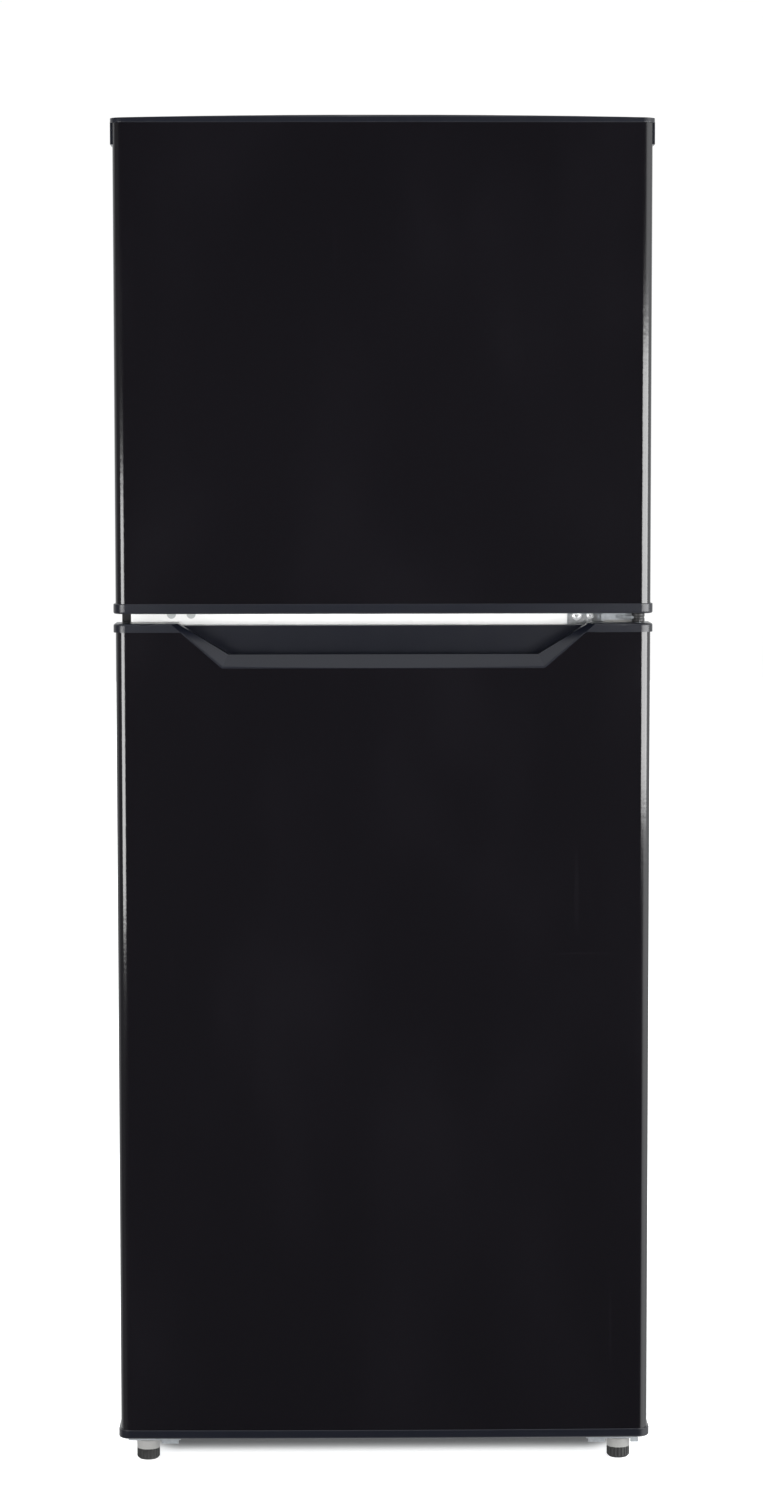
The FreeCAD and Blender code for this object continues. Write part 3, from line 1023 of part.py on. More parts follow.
def freezer_interior():
    """Evaporator, fan and motor behind the air cover, the wire rack and the airflow slider."""
    rear = "cover_front + cover_thick"
    plain = box("air_sheet", ("-cavity_half", "cavity_half"), ("cover_front", rear),
                ("freezer_floor", "freezer_ceiling"))
    sheet = rounded("air_sheet_round", plain, "cavity_round", lambda e: along(e, 1))
    holes = []
    for i in range(13):
        spot = f"fan_level + ({i} - 6) * 7.4"
        reach = f"{math.sqrt(48.0**2 - ((i - 6) * 7.4) ** 2):.3f}"
        holes.append(box(f"fan_slot_{i}", (f"-{reach}", reach), ("cover_front - 1", "cover_front + 5"),
                         (f"{spot} - 2.2", f"{spot} + 2.2")))
    for i in range(14):
        spot = f"(-182 + {i} * 28)"
        holes.append(box(f"return_slot_{i}", (f"{spot} - 9", f"{spot} + 9"),
                         ("cover_front - 1", "cover_front + 5"),
                         ("freezer_floor + 12", "freezer_floor + 18")))
    holes.append(box("slider_slot", ("-42", "42"), ("cover_front - 1", "cover_front + 5"),
                     ("slider_level - 3.2", "slider_level + 3.2")))
    node("freezer_air_cover", cut("air_cover_cut", sheet, holes))

    pad_x = -26
    slide = box("slider_pad", (f"{pad_x} - 13", f"{pad_x} + 13"), ("cover_front - 4.5", "cover_front - 0.4"),
                ("slider_level - 7", "slider_level + 7"))
    nib = box("slider_nib", (f"{pad_x} - 3", f"{pad_x} + 3"), ("cover_front - 9", "cover_front - 4"),
              ("slider_level - 6", "slider_level + 6"))
    stem = box("slider_stem", (f"{pad_x} - 5", f"{pad_x} + 5"), ("cover_front - 1", "cover_front + 7"),
               ("slider_level - 2.6", "slider_level + 2.6"))
    node("airflow_slider", fuse("slider", [slide, nib, stem]))

    hub = rod("fan_hub", "Y", ("fan_x", "fan_y", "fan_level"), "hub_radius", "hub_length")
    blades = []
    count = 5
    for k in range(count):
        blade = DOC.addObject("Part::Box", f"fan_blade_{k}")
        bind(blade, "Length", "fan_radius - 11")
        blade.Width = 1.6
        blade.Height = 20
        pitch = FreeCAD.Rotation(V(1, 0, 0), 62)
        spin = FreeCAD.Rotation(V(0, 1, 0), 360.0 * k / count)
        local = FreeCAD.Placement(V(11, 0, 0), pitch)
        local = local.multiply(FreeCAD.Placement(V(0, -0.8, -10), FreeCAD.Rotation()))
        turned_blade = FreeCAD.Placement(V(0, 0, 0), spin).multiply(local)
        blade.Placement = turned_blade
        shift = turned_blade.Base
        place(blade, f"fan_x + {shift.x:.5f}", f"fan_y + 7 + {shift.y:.5f}", f"fan_level + {shift.z:.5f}")
        blades.append(blade)
    bore = rod("fan_bore", "Y", ("fan_x", "fan_y + 2", "fan_level"), "shaft_radius + pin_clear", "20")
    node("evaporator_fan", cut("fan_cut", fuse("fan_solid", [hub] + blades), [bore]))
    case = rod("motor_case", "Y", ("fan_x", "fan_y + 20", "fan_level"), "motor_radius", "motor_length")
    shaft = rod("motor_shaft", "Y", ("fan_x", "fan_y + 4", "fan_level"), "shaft_radius", "20")
    strap = box("motor_strap", ("-70", "70"), ("fan_y + 40", "cavity_rear"),
                ("fan_level - 9", "fan_level + 9"))
    node("fan_motor", fuse("motor", [case, shaft, strap]))

    parts = []
    for i in range(22):
        x = f"-coil_half + 8 + {i} * (2 * coil_half - 16) / 21"
        parts.append(box(f"fin_{i}", (f"{x} - 0.6", f"{x} + 0.6"), ("coil_front", "coil_rear"),
                         ("coil_low", "coil_high")))
    for k in range(6):
        level = f"coil_low + 14 + {k} * 28"
        for j, y in enumerate(("coil_front + 11", "coil_rear - 11")):
            parts.append(rod(f"evaporator_tube_{k}_{j}", "X", ("-coil_half", y, level), "evaporator_tube",
                             "2 * coil_half"))
        for j, x in enumerate(("-coil_half - 4", "coil_half - 4")):
            parts.append(box(f"evaporator_return_{k}_{j}", (x, f"{x} + 8"),
                             ("coil_front + 8", "coil_rear - 8"),
                             (f"{level} - 4", f"{level} + 4")))
    node("evaporator", fuse("evaporator_all", parts))

    bars = []
    half = "cavity_half - 2"
    for j, y in enumerate(("rack_front", "(rack_front + rack_rear) / 2", "rack_rear")):
        bars.append(rod(f"rack_rail_{j}", "X", (f"-({half})", y, "rack_level"), "rack_rail", f"2 * ({half})"))
    for i in range(19):
        x = f"-({half}) + 10 + {i} * (2 * ({half}) - 20) / 18"
        bars.append(rod(f"rack_wire_{i}", "Y", (x, "rack_front", "rack_level + 2"), "rack_wire",
                        "rack_rear - rack_front"))
    node("freezer_rack", fuse("rack", bars))


fridge_door()
freezer_door()
cabinet_shell()
liners_and_foam()
hinges()
machine_compartment()
fasteners()
feet_and_rollers()
fridge_interior()
freezer_interior()
DOC.recompute()

for thing in DOC.Objects:
    if {"Invalid", "Error"} & set(thing.State):
        raise RuntimeError(f"{thing.Name} ({thing.Label}) failed: {thing.State}")
for label, part in NODES.items():
    shape = part.Shape
    if shape.isNull() or not shape.isValid() or shape.Volume <= 0:
        raise RuntimeError(f"{label} has no valid shape")

os.makedirs("parts", exist_ok=True)
for label, part in NODES.items():
    part.Shape.exportStep(f"parts/{label}.step")
print(len(NODES), "sub-parts written")
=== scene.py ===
"""Top freezer refrigerator: finishes, fine detail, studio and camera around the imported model."""

import json
import logging
import math
from dataclasses import dataclass
from enum import Enum

import bmesh
import bpy
from mathutils import Matrix, Vector


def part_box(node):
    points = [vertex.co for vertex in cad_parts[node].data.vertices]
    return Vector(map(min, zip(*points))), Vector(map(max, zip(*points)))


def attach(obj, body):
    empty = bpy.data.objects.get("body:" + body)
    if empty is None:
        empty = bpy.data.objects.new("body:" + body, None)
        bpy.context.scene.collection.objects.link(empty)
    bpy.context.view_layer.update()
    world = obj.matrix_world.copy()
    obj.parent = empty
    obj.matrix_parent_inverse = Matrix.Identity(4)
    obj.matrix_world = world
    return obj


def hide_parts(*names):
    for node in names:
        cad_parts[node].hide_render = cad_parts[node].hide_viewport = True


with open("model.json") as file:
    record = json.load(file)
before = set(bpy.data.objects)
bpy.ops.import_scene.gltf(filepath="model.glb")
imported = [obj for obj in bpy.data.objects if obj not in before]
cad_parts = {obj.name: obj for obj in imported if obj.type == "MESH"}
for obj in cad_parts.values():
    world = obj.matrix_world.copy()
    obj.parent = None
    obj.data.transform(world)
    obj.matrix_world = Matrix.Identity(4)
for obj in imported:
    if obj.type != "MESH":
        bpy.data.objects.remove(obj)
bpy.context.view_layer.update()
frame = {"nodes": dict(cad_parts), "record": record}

LOG = logging.getLogger("refrigerator")
PLATE_CORNER = 0.0015
PLATE_EASE = 0.35

Colour = tuple[float, float, float]
Triple = tuple[float, float, float]
Mesh = bpy.types.Mesh
Socket = bpy.types.NodeSocket


class Surface(Enum):
    """Kinds of surface; each value names the method of Finish that draws it."""

    GLOSS_PAINT = "gloss_paint"
    TEXTURED_PAINT = "textured_paint"
    MOULDED = "moulded"
    VACUUM_FORMED = "vacuum_formed"
    CLEAR = "clear"
    PANE = "pane"
    SPANGLED = "spangled"
    DRAWN = "drawn"
    FOAMED = "foamed"
    RUBBER = "rubber"


class Wiring:
    """A shading node tree while it is put together."""

    def __init__(self, owner: bpy.types.Material | bpy.types.World) -> None:
        """Empty the owner's node tree."""
        owner.use_nodes = True
        self.nodes = owner.node_tree.nodes
        self.links = owner.node_tree.links
        self.nodes.clear()

    def level(self, factor: Socket, low: float, high: float,
              start: float = 0.3, end: float = 0.7) -> Socket:
        """Remap a factor to a range.

        Args:
            factor: the input.
            low: value at the start.
            high: value at the end.
            start: input that gives low.
            end: input that gives high.

        Returns:
            The result socket.
        """
        node = self.nodes.new("ShaderNodeMapRange")
        node.interpolation_type = "SMOOTHSTEP"
        limits = {"From Min": start, "From Max": end, "To Min": low, "To Max": high}
        for name, value in limits.items():
            node.inputs[name].default_value = value
        self.links.new(factor, node.inputs["Value"])
        return node.outputs["Result"]


class Shader(Wiring):
    """One material's node tree."""

    def __init__(self, name: str) -> None:
        """Start an empty material around one Principled shader.

        Args:
            name: the material's name.
        """
        self.material = bpy.data.materials.new(name)
        super().__init__(self.material)
        self.body = self.nodes.new("ShaderNodeBsdfPrincipled")
        output = self.nodes.new("ShaderNodeOutputMaterial")
        self.links.new(self.body.outputs["BSDF"], output.inputs["Surface"])

    def place(self, stretch: Triple = (1.0, 1.0, 1.0),
              turn: Triple = (0.0, 0.0, 0.0)) -> Socket:
        """Object coordinates, stretched and turned.

        Args:
            stretch: scale along each axis.
            turn: rotation about each axis, in radians.

        Returns:
            The vector socket.
        """
        source = self.nodes.new("ShaderNodeTexCoord")
        mapping = self.nodes.new("ShaderNodeMapping")
        mapping.inputs["Scale"].default_value = stretch
        mapping.inputs["Rotation"].default_value = turn
        self.links.new(source.outputs["Object"], mapping.inputs["Vector"])
        return mapping.outputs["Vector"]

    def noise(self, where: Socket, pitch: float, detail: float = 2.0) -> Socket:
        """Soft noise.

        Args:
            where: coordinates.
            pitch: size of one blotch, in metres.
            detail: octaves.

        Returns:
            The factor socket.
        """
        node = self.nodes.new("ShaderNodeTexNoise")
        node.inputs["Scale"].default_value = 1.0 / pitch
        node.inputs["Detail"].default_value = detail
        self.links.new(where, node.inputs["Vector"])
        return node.outputs["Fac"]

    def cells(self, where: Socket, pitch: float, feature: str = "F1") -> Socket:
        """Cell pattern.

        Args:
            where: coordinates.
            pitch: size of one cell, in metres.
            feature: which distance the cells give.

        Returns:
            The distance socket.
        """
        node = self.nodes.new("ShaderNodeTexVoronoi")
        node.feature = feature
        node.inputs["Scale"].default_value = 1.0 / pitch
        self.links.new(where, node.inputs["Vector"])
        return node.outputs["Distance"]

    def add(self, first: Socket, second: Socket) -> Socket:
        """Sum of two values."""
        node = self.nodes.new("ShaderNodeMath")
        node.operation = "ADD"
        self.links.new(first, node.inputs[0])
        self.links.new(second, node.inputs[1])
        return node.outputs[0]

    def tone(self, factor: Socket, low: Colour, high: Colour) -> Socket:
        """Mix two colours.

        Args:
            factor: 0 for low, 1 for high.
            low: first colour.
            high: second colour.

        Returns:
            The colour socket.
        """
        node = self.nodes.new("ShaderNodeMix")
        node.data_type = "RGBA"
        self.links.new(factor, node.inputs["Factor"])
        node.inputs["A"].default_value = (*low, 1.0)
        node.inputs["B"].default_value = (*high, 1.0)
        return next(s for s in node.outputs if s.type == "RGBA")

    def relief(self, height: Socket, depth: float, strength: float = 1.0) -> None:
        """Bump from a height, chained onto any earlier one.

        Args:
            height: the height, 0 to 1.
            depth: metres between 0 and 1.
            strength: share of the effect.
        """
        node = self.nodes.new("ShaderNodeBump")
        node.inputs["Strength"].default_value = strength
        node.inputs["Distance"].default_value = depth
        self.links.new(height, node.inputs["Height"])
        normal = self.body.inputs["Normal"]
        if normal.links:
            self.links.new(normal.links[0].from_socket, node.inputs["Normal"])
        self.links.new(node.outputs["Normal"], normal)

    def feed(self, name: str, source: Socket) -> None:
        """Link a socket into the shader."""
        self.links.new(source, self.body.inputs[name])

    def fix(self, name: str, value: float | tuple[float, ...]) -> None:
        """Set a uniform value on the shader itself."""
        self.body.inputs[name].default_value = value


@dataclass(frozen=True)
class Finish:
    """One finish of the appliance, with sizes in metres."""

    slot: str
    surface: Surface
    colour: Colour
    roughness: float
    metallic: float = 0.0
    specular: float = 0.5
    grain: float = 0.0008
    depth: float = 0.00002
    fleck: float = 0.12
    wear: float = 0.05

    def shade(self, share: float) -> Colour:
        """The colour, lighter or darker by a share."""
        return tuple(min(1.0, c * (1.0 + share)) for c in self.colour)

    def build(self) -> bpy.types.Material:
        """Make the material.

        Returns:
            The finished material.
        """
        shader = Shader(self.slot)
        shader.fix("Metallic", self.metallic)
        shader.fix("Specular IOR Level", self.specular)
        getattr(self, self.surface.value)(shader)
        return shader.material

    def speckle(self, shader: Shader, pitch: float) -> None:
        """Slow change of tone over a surface.

        Args:
            shader: the tree.
            pitch: blotch size in metres.
        """
        blotch = shader.level(shader.noise(shader.place(), pitch, 3.0), 0.0, 1.0)
        self.colour_by(shader, blotch, -self.fleck, self.fleck)

    def colour_by(self, shader: Shader, factor: Socket, low: float, high: float) -> None:
        """Let the colour follow a pattern.

        Args:
            shader: the tree.
            factor: the pattern, 0 to 1.
            low: change of the colour where the pattern is 0, as a share.
            high: change where it is 1.
        """
        shader.feed("Base Color", shader.tone(factor, self.shade(low), self.shade(high)))

    def gloss_by(self, shader: Shader, factor: Socket, low: float, high: float,
                 limits: tuple[float, float] = (0.3, 0.7)) -> None:
        """Let the roughness follow a pattern.

        Args:
            shader: the tree.
            factor: the pattern.
            low: what the roughness gains at the first limit.
            high: what it gains at the second.
            limits: pattern values between which it changes.
        """
        rough = shader.level(factor, self.roughness + low, self.roughness + high, *limits)
        shader.feed("Roughness", rough)

    def worn(self, shader: Shader, pitch: float) -> None:
        """Slow change of gloss over a surface.

        Args:
            shader: the tree.
            pitch: blotch size in metres.
        """
        blotch = shader.noise(shader.place(turn=(0.4, 0.2, 0.7)), pitch, detail=4.0)
        self.gloss_by(shader, blotch, -self.wear, self.wear)

    def streaks(self, shader: Shader, stretch: Triple, lean: float, pitch: float,
                detail: float, limits: tuple[float, float]) -> Socket:
        """Marks drawn out along one direction of a door.

        Args:
            shader: the tree.
            stretch: scale along each axis; a small one draws the marks out.
            lean: how far they lean from upright, in radians.
            pitch: their size in metres.
            detail: octaves.
            limits: noise at which a mark begins and at which it is full.

        Returns:
            The marks, 0 to 1.
        """
        spread = shader.noise(shader.place(stretch, (0.0, lean, 0.0)), pitch, detail)
        return shader.level(spread, 0.0, 1.0, *limits)

    def gloss_paint(self, shader: Shader) -> None:
        """Baked gloss enamel: orange peel, wiping haze, fine upright grain and hairline scuffs."""
        haze = self.streaks(shader, (1.0, 1.0, 0.45), 0.5, 0.16, 5.0, (0.42, 0.72))
        scuff = self.streaks(shader, (26.0, 1.0, 0.7), 0.35, 0.22, 1.0, (0.74, 0.8))
        arc = self.streaks(shader, (1.0, 1.0, 30.0), -0.3, 0.3, 1.0, (0.75, 0.81))
        marks = shader.add(haze, shader.add(scuff, arc))
        self.colour_by(shader, marks, 0.0, self.fleck)
        self.gloss_by(shader, marks, 0.0, self.wear, (0.0, 1.6))
        shader.relief(shader.noise(shader.place(), 0.0045, 1.0), self.depth, 0.35)
        shader.relief(shader.noise(shader.place((1.0, 1.0, 0.02)), 0.0016), self.depth, 0.12)

    def textured_paint(self, shader: Shader) -> None:
        """Coated sheet steel with a fine pebble."""
        self.speckle(shader, 0.09)
        self.worn(shader, 0.05)
        shader.relief(shader.cells(shader.place(), self.grain), self.depth, 0.5)
        shader.relief(shader.noise(shader.place(), 0.004), self.depth, 0.2)

    def moulded(self, shader: Shader) -> None:
        """Injection moulded plastic with spark grain."""
        self.speckle(shader, 0.03)
        self.worn(shader, 0.02)
        shader.relief(shader.noise(shader.place(), self.grain, 3.0), self.depth, 0.6)

    def vacuum_formed(self, shader: Shader) -> None:
        """Glossy formed sheet, slightly rippled."""
        self.speckle(shader, 0.12)
        self.worn(shader, 0.08)
        shader.relief(shader.noise(shader.place(), 0.09, 1.0), 0.0003, 0.08)
        shader.relief(shader.noise(shader.place(), self.grain), self.depth, 0.3)

    def clear(self, shader: Shader) -> None:
        """Clear moulding with flow ripples."""
        shader.fix("Base Color", (*self.colour, 1.0))
        shader.fix("Transmission Weight", 0.93)
        shader.fix("IOR", 1.46)
        self.worn(shader, 0.03)
        shader.relief(shader.noise(shader.place((1.0, 1.0, 0.3)), 0.02, 2.0), 0.0004, 0.3)

    def pane(self, shader: Shader) -> None:
        """Float glass, green in its thickness, with faint wiping marks."""
        shader.fix("Base Color", (*self.colour, 1.0))
        shader.fix("Transmission Weight", 1.0)
        shader.fix("IOR", 1.5)
        streak = shader.noise(shader.place((1.0, 12.0, 1.0)), 0.08, 4.0)
        self.gloss_by(shader, streak, 0.0, 0.06, (0.5, 0.75))
        shader.relief(shader.noise(shader.place(), 0.09, 1.0), 0.0003, 0.1)

    def spangled(self, shader: Shader) -> None:
        """Zinc plated sheet: crystal spangle and rolling lines."""
        cell = shader.cells(shader.place(), 0.004, "SMOOTH_F1")
        crystals = shader.level(cell, 0.0, 1.0, 0.1, 0.8)
        self.colour_by(shader, crystals, self.fleck, -self.fleck)
        self.gloss_by(shader, crystals, -0.07, 0.1, (0.0, 1.0))
        rolled = shader.noise(shader.place((0.05, 1.0, 1.0)), self.grain)
        shader.relief(rolled, self.depth, 0.4)

    def drawn(self, shader: Shader) -> None:
        """Drawn or rolled metal with lines along its length and a little tarnish."""
        tarnish = shader.level(shader.noise(shader.place(), 0.02, 4.0), 0.0, 1.0, 0.35, 0.7)
        self.colour_by(shader, tarnish, self.fleck, -2.0 * self.fleck)
        self.gloss_by(shader, tarnish, -0.05, 0.12, (0.0, 1.0))
        lines = shader.noise(shader.place((1.0, 1.0, 0.04)), self.grain)
        shader.relief(lines, self.depth, 0.5)

    def foamed(self, shader: Shader) -> None:
        """Closed cell insulation foam."""
        cell = shader.cells(shader.place(), self.grain)
        self.colour_by(shader, shader.level(cell, 0.0, 1.0, 0.1, 0.7), -0.25, 0.1)
        shader.fix("Roughness", self.roughness)
        shader.relief(cell, self.depth, 0.8)

    def rubber(self, shader: Shader) -> None:
        """Matt elastomer with blotches of bloom."""
        self.speckle(shader, 0.012)
        self.worn(shader, 0.01)
        shader.relief(shader.noise(shader.place(), self.grain, 3.0), self.depth, 0.5)


FINISHES = (
    Finish("door_paint", Surface.GLOSS_PAINT, (0.0022, 0.0019, 0.0027), 0.11, fleck=0.3,
           depth=0.00012),
    Finish("cap_plastic", Surface.MOULDED, (0.0028, 0.0034, 0.0066), 0.30, specular=0.42,
           grain=0.0006, fleck=0.04, wear=0.012),
    Finish("cabinet_paint", Surface.TEXTURED_PAINT, (0.006, 0.006, 0.0068), 0.48, specular=0.3,
           grain=0.0011, depth=0.00006, fleck=0.05, wear=0.01),
    Finish("grey_steel", Surface.SPANGLED, (0.42, 0.43, 0.44), 0.42, metallic=0.85),
    Finish("white_steel", Surface.TEXTURED_PAINT, (0.86, 0.86, 0.85), 0.3, fleck=0.02),
    Finish("white_lining", Surface.VACUUM_FORMED, (0.44, 0.455, 0.455), 0.3, fleck=0.015,
           wear=0.02),
    Finish("foam", Surface.FOAMED, (0.62, 0.52, 0.30), 0.8, grain=0.0014, depth=0.0003),
    Finish("zinc_plate", Surface.SPANGLED, (0.33, 0.35, 0.37), 0.38, metallic=0.5),
    Finish("screw_zinc", Surface.DRAWN, (0.80, 0.81, 0.82), 0.30, metallic=0.35, fleck=0.06,
           grain=0.0004),
    Finish("black_plastic", Surface.MOULDED, (0.014, 0.014, 0.015), 0.45, depth=0.00003,
           fleck=0.05, wear=0.02),
    Finish("grey_plastic", Surface.MOULDED, (0.205, 0.203, 0.197), 0.42, fleck=0.03, wear=0.02),
    Finish("clear_plastic", Surface.CLEAR, (0.93, 0.96, 0.97), 0.07, wear=0.02),
    Finish("lens_plastic", Surface.CLEAR, (0.95, 0.95, 0.92), 0.3),
    Finish("white_plastic", Surface.MOULDED, (0.43, 0.445, 0.445), 0.36, fleck=0.015, wear=0.02),
    Finish("shelf_glass", Surface.PANE, (0.86, 0.96, 0.92), 0.01),
    Finish("bulb_glass", Surface.CLEAR, (0.96, 0.95, 0.90), 0.12),
    Finish("gasket_rubber", Surface.RUBBER, (0.16, 0.165, 0.17), 0.5, fleck=0.06, grain=0.0012),
    Finish("rubber_black", Surface.RUBBER, (0.012, 0.012, 0.012), 0.62, fleck=0.2, grain=0.001),
    Finish("compressor_black", Surface.TEXTURED_PAINT, (0.008, 0.008, 0.009), 0.3, grain=0.002,
           depth=0.0001),
    Finish("copper", Surface.DRAWN, (0.75, 0.33, 0.19), 0.28, metallic=1.0, fleck=0.15),
    Finish("condenser_black", Surface.TEXTURED_PAINT, (0.009, 0.009, 0.009), 0.4, grain=0.0009),
    Finish("fin_aluminium", Surface.DRAWN, (0.74, 0.75, 0.76), 0.36, metallic=1.0, fleck=0.06),
    Finish("rack_wire", Surface.MOULDED, (0.82, 0.83, 0.82), 0.3, fleck=0.02, grain=0.0012),
)


class Paintbox:
    """All finishes, built once and shared by slot name."""

    def __init__(self) -> None:
        """Build every finish."""
        self.pots = {finish.slot: finish.build() for finish in FINISHES}

    def dress(self, record: dict, nodes: dict[str, bpy.types.Object]) -> None:
        """Give every modelled part the finish of its slot.

        Args:
            record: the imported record.
            nodes: the modelled parts by name.
        """
        for row in record["subparts"]:
            part = nodes[row["node"]]
            part.data.materials.clear()
            part.data.materials.append(self.pots[row["material_slot"]])
            LOG.info("dressed %s in %s", row["node"], row["material_slot"])


def shown(name: str, data: bpy.types.ID) -> bpy.types.Object:
    """New object in the scene that shows a mesh, lamp or camera."""
    thing = bpy.data.objects.new(name, data)
    bpy.context.scene.collection.objects.link(thing)
    return thing


def smooth(mesh: Mesh, limit: float) -> None:
    """Shade a mesh smooth except at edges sharper than a limit.

    Args:
        mesh: the mesh.
        limit: angle in degrees.
    """
    for face in mesh.polygons:
        face.use_smooth = True
    mesh.set_sharp_from_angle(angle=math.radians(limit))


def stitch(work: bmesh.types.BMesh, first: list, second: list) -> None:
    """Join two closed rings of vertices with faces.

    Args:
        work: the shape that holds them.
        first: vertices of one ring, in order.
        second: as many vertices of the next.
    """
    for k in range(len(first)):
        j = (k + 1) % len(first)
        work.faces.new((first[k], first[j], second[j], second[k]))


def finished(work: bmesh.types.BMesh, name: str, limit: float = 0.0) -> Mesh:
    """Turn a worked shape into a mesh with its faces outward.

    Args:
        work: the shape, which is used up.
        name: the mesh's name.
        limit: edges sharper than this, in degrees, stay sharp; 0 keeps every face flat.

    Returns:
        The mesh.
    """
    bmesh.ops.recalc_face_normals(work, faces=work.faces)
    mesh = bpy.data.meshes.new(name)
    work.to_mesh(mesh)
    work.free()
    if limit:
        smooth(mesh, limit)
    return mesh


@dataclass
class Piece:
    """A made piece, put into the scene on its body."""

    name: str
    body: str
    slot: str

    def settle(self, mesh: Mesh, paint: Paintbox, *stands_for: str) -> None:
        """Put a finished mesh into the scene.

        Args:
            mesh: the mesh, in place.
            paint: the finishes.
            stands_for: modelled parts that the piece replaces.
        """
        piece = shown(self.name, mesh)
        mesh.materials.clear()
        mesh.materials.append(paint.pots[self.slot])
        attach(piece, self.body)
        if stands_for:
            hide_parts(*stands_for)
        LOG.info("made %s: %d faces on %s", self.name, len(mesh.polygons), self.body)


class Tree:
    """A Geometry Nodes tree with named inputs; each kind grows its own copies."""

    def __init__(self, name: str, material: bpy.types.Material) -> None:
        """Make the tree and end it with realised, painted geometry.

        Args:
            name: the tree's name.
            material: the finish of what it makes.
        """
        self.group = bpy.data.node_groups.new(name, "GeometryNodeTree")
        for end in ("INPUT", "OUTPUT"):
            self.group.interface.new_socket("Geometry", in_out=end,
                                            socket_type="NodeSocketGeometry")
        self.entry = self.group.nodes.new("NodeGroupInput")
        self.exit = self.group.nodes.new("NodeGroupOutput")
        real = self.put("RealizeInstances", Geometry=self.grow())
        painted = self.put("SetMaterial", Geometry=real, Material=material)
        self.plug(self.exit, "Geometry", painted)

    def grow(self) -> bpy.types.Node:
        """Last node of the copies, before they are painted."""
        raise NotImplementedError

    def ask(self, name: str, kind: str = "NodeSocketFloat") -> Socket:
        """Add a named input.

        Args:
            name: the input's name.
            kind: its socket type.

        Returns:
            The socket inside the tree.
        """
        self.group.interface.new_socket(name, in_out="INPUT", socket_type=kind)
        return self.entry.outputs[name]

    def put(self, kind: str, **feeds: object) -> bpy.types.Node:
        """Add a node and feed its inputs.

        Args:
            kind: node type without its GeometryNode prefix.
            feeds: input name, with _ for a space, and what plug takes; a leading set_ gives a
                property.

        Returns:
            The node.
        """
        known = kind.startswith(("Function", "Shader"))
        node = self.group.nodes.new(kind if known else "GeometryNode" + kind)
        for key, value in feeds.items():
            if key.startswith("set_"):
                setattr(node, key[4:], value)
        for key, value in feeds.items():
            if not key.startswith("set_"):
                self.plug(node, key.replace("_", " "), value)
        return node

    def plug(self, node: bpy.types.Node, name: str, value: object) -> None:
        """Feed one input.

        Args:
            node: the node.
            name: the input's name, or its number.
            value: a socket to link, a node whose first output is linked, or a plain value.
        """
        target = node.inputs[int(name)] if name.isdigit() else next(
            s for s in node.inputs if s.name == name and s.enabled)
        if isinstance(value, bpy.types.Node):
            value = next(s for s in value.outputs if s.enabled)
        if isinstance(value, Socket):
            self.group.links.new(value, target)
        else:
            target.default_value = value

    def bake(self, values: dict[str, object], seed_mesh: Mesh | None = None) -> Mesh:
        """Run the tree once and keep its result.

        Args:
            values: a value for each named input.
            seed_mesh: the mesh that the tree works on, if any.

        Returns:
            A plain mesh.
        """
        holder = shown(self.group.name, seed_mesh or bpy.data.meshes.new(self.group.name))
        modifier = holder.modifiers.new("nodes", "NODES")
        modifier.node_group = self.group
        for item in self.group.interface.items_tree:
            if item.in_out == "INPUT" and item.name in values:
                modifier[item.identifier] = values[item.name]
        graph = bpy.context.evaluated_depsgraph_get()
        mesh = bpy.data.meshes.new_from_object(holder.evaluated_get(graph))
        holder.modifiers.clear()
        bpy.data.objects.remove(holder)
        return mesh


class BeadRow(Tree):
    """A row of round beads or wires: each runs one way, and the row steps another."""

    def grow(self) -> bpy.types.Node:
        """Put a round wire on each point of a line.

        Returns:
            The node that places the copies.
        """
        count = self.ask("Count", "NodeSocketInt")
        first = self.ask("Start", "NodeSocketVector")
        step = self.ask("Step", "NodeSocketVector")
        run = self.ask("Run", "NodeSocketVector")
        radius = self.ask("Radius")
        sides = self.ask("Sides", "NodeSocketInt")
        spots = self.put("MeshLine", set_mode="OFFSET", Count=count, Start_Location=first,
                         Offset=step)
        line = self.put("CurvePrimitiveLine", End=run)
        ring = self.put("CurvePrimitiveCircle", Resolution=sides, Radius=radius)
        wire = self.put("CurveToMesh", Curve=line, Profile_Curve=ring, Fill_Caps=True)
        return self.put("InstanceOnPoints", Points=spots, Instance=wire)


class SlatField(Tree):
    """A field of slanted louvre slats, in rows and columns."""

    def grow(self) -> bpy.types.Node:
        """Put a slanted fin on each point of the mesh.

        Returns:
            The node that places the copies.
        """
        length = self.ask("Length")
        thick = self.ask("Thickness")
        drop = self.ask("Drop")
        shift = self.ask("Shift")
        end = self.put("ShaderNodeCombineXYZ", X=length)
        line = self.put("CurvePrimitiveLine", End=end)
        slat = self.put("CurvePrimitiveQuadrilateral", set_mode="PARALLELOGRAM", Width=thick,
                        Height=drop, Offset=shift)
        fin = self.put("CurveToMesh", Curve=line, Profile_Curve=slat, Fill_Caps=True)
        return self.put("InstanceOnPoints", Points=self.entry, Instance=fin)


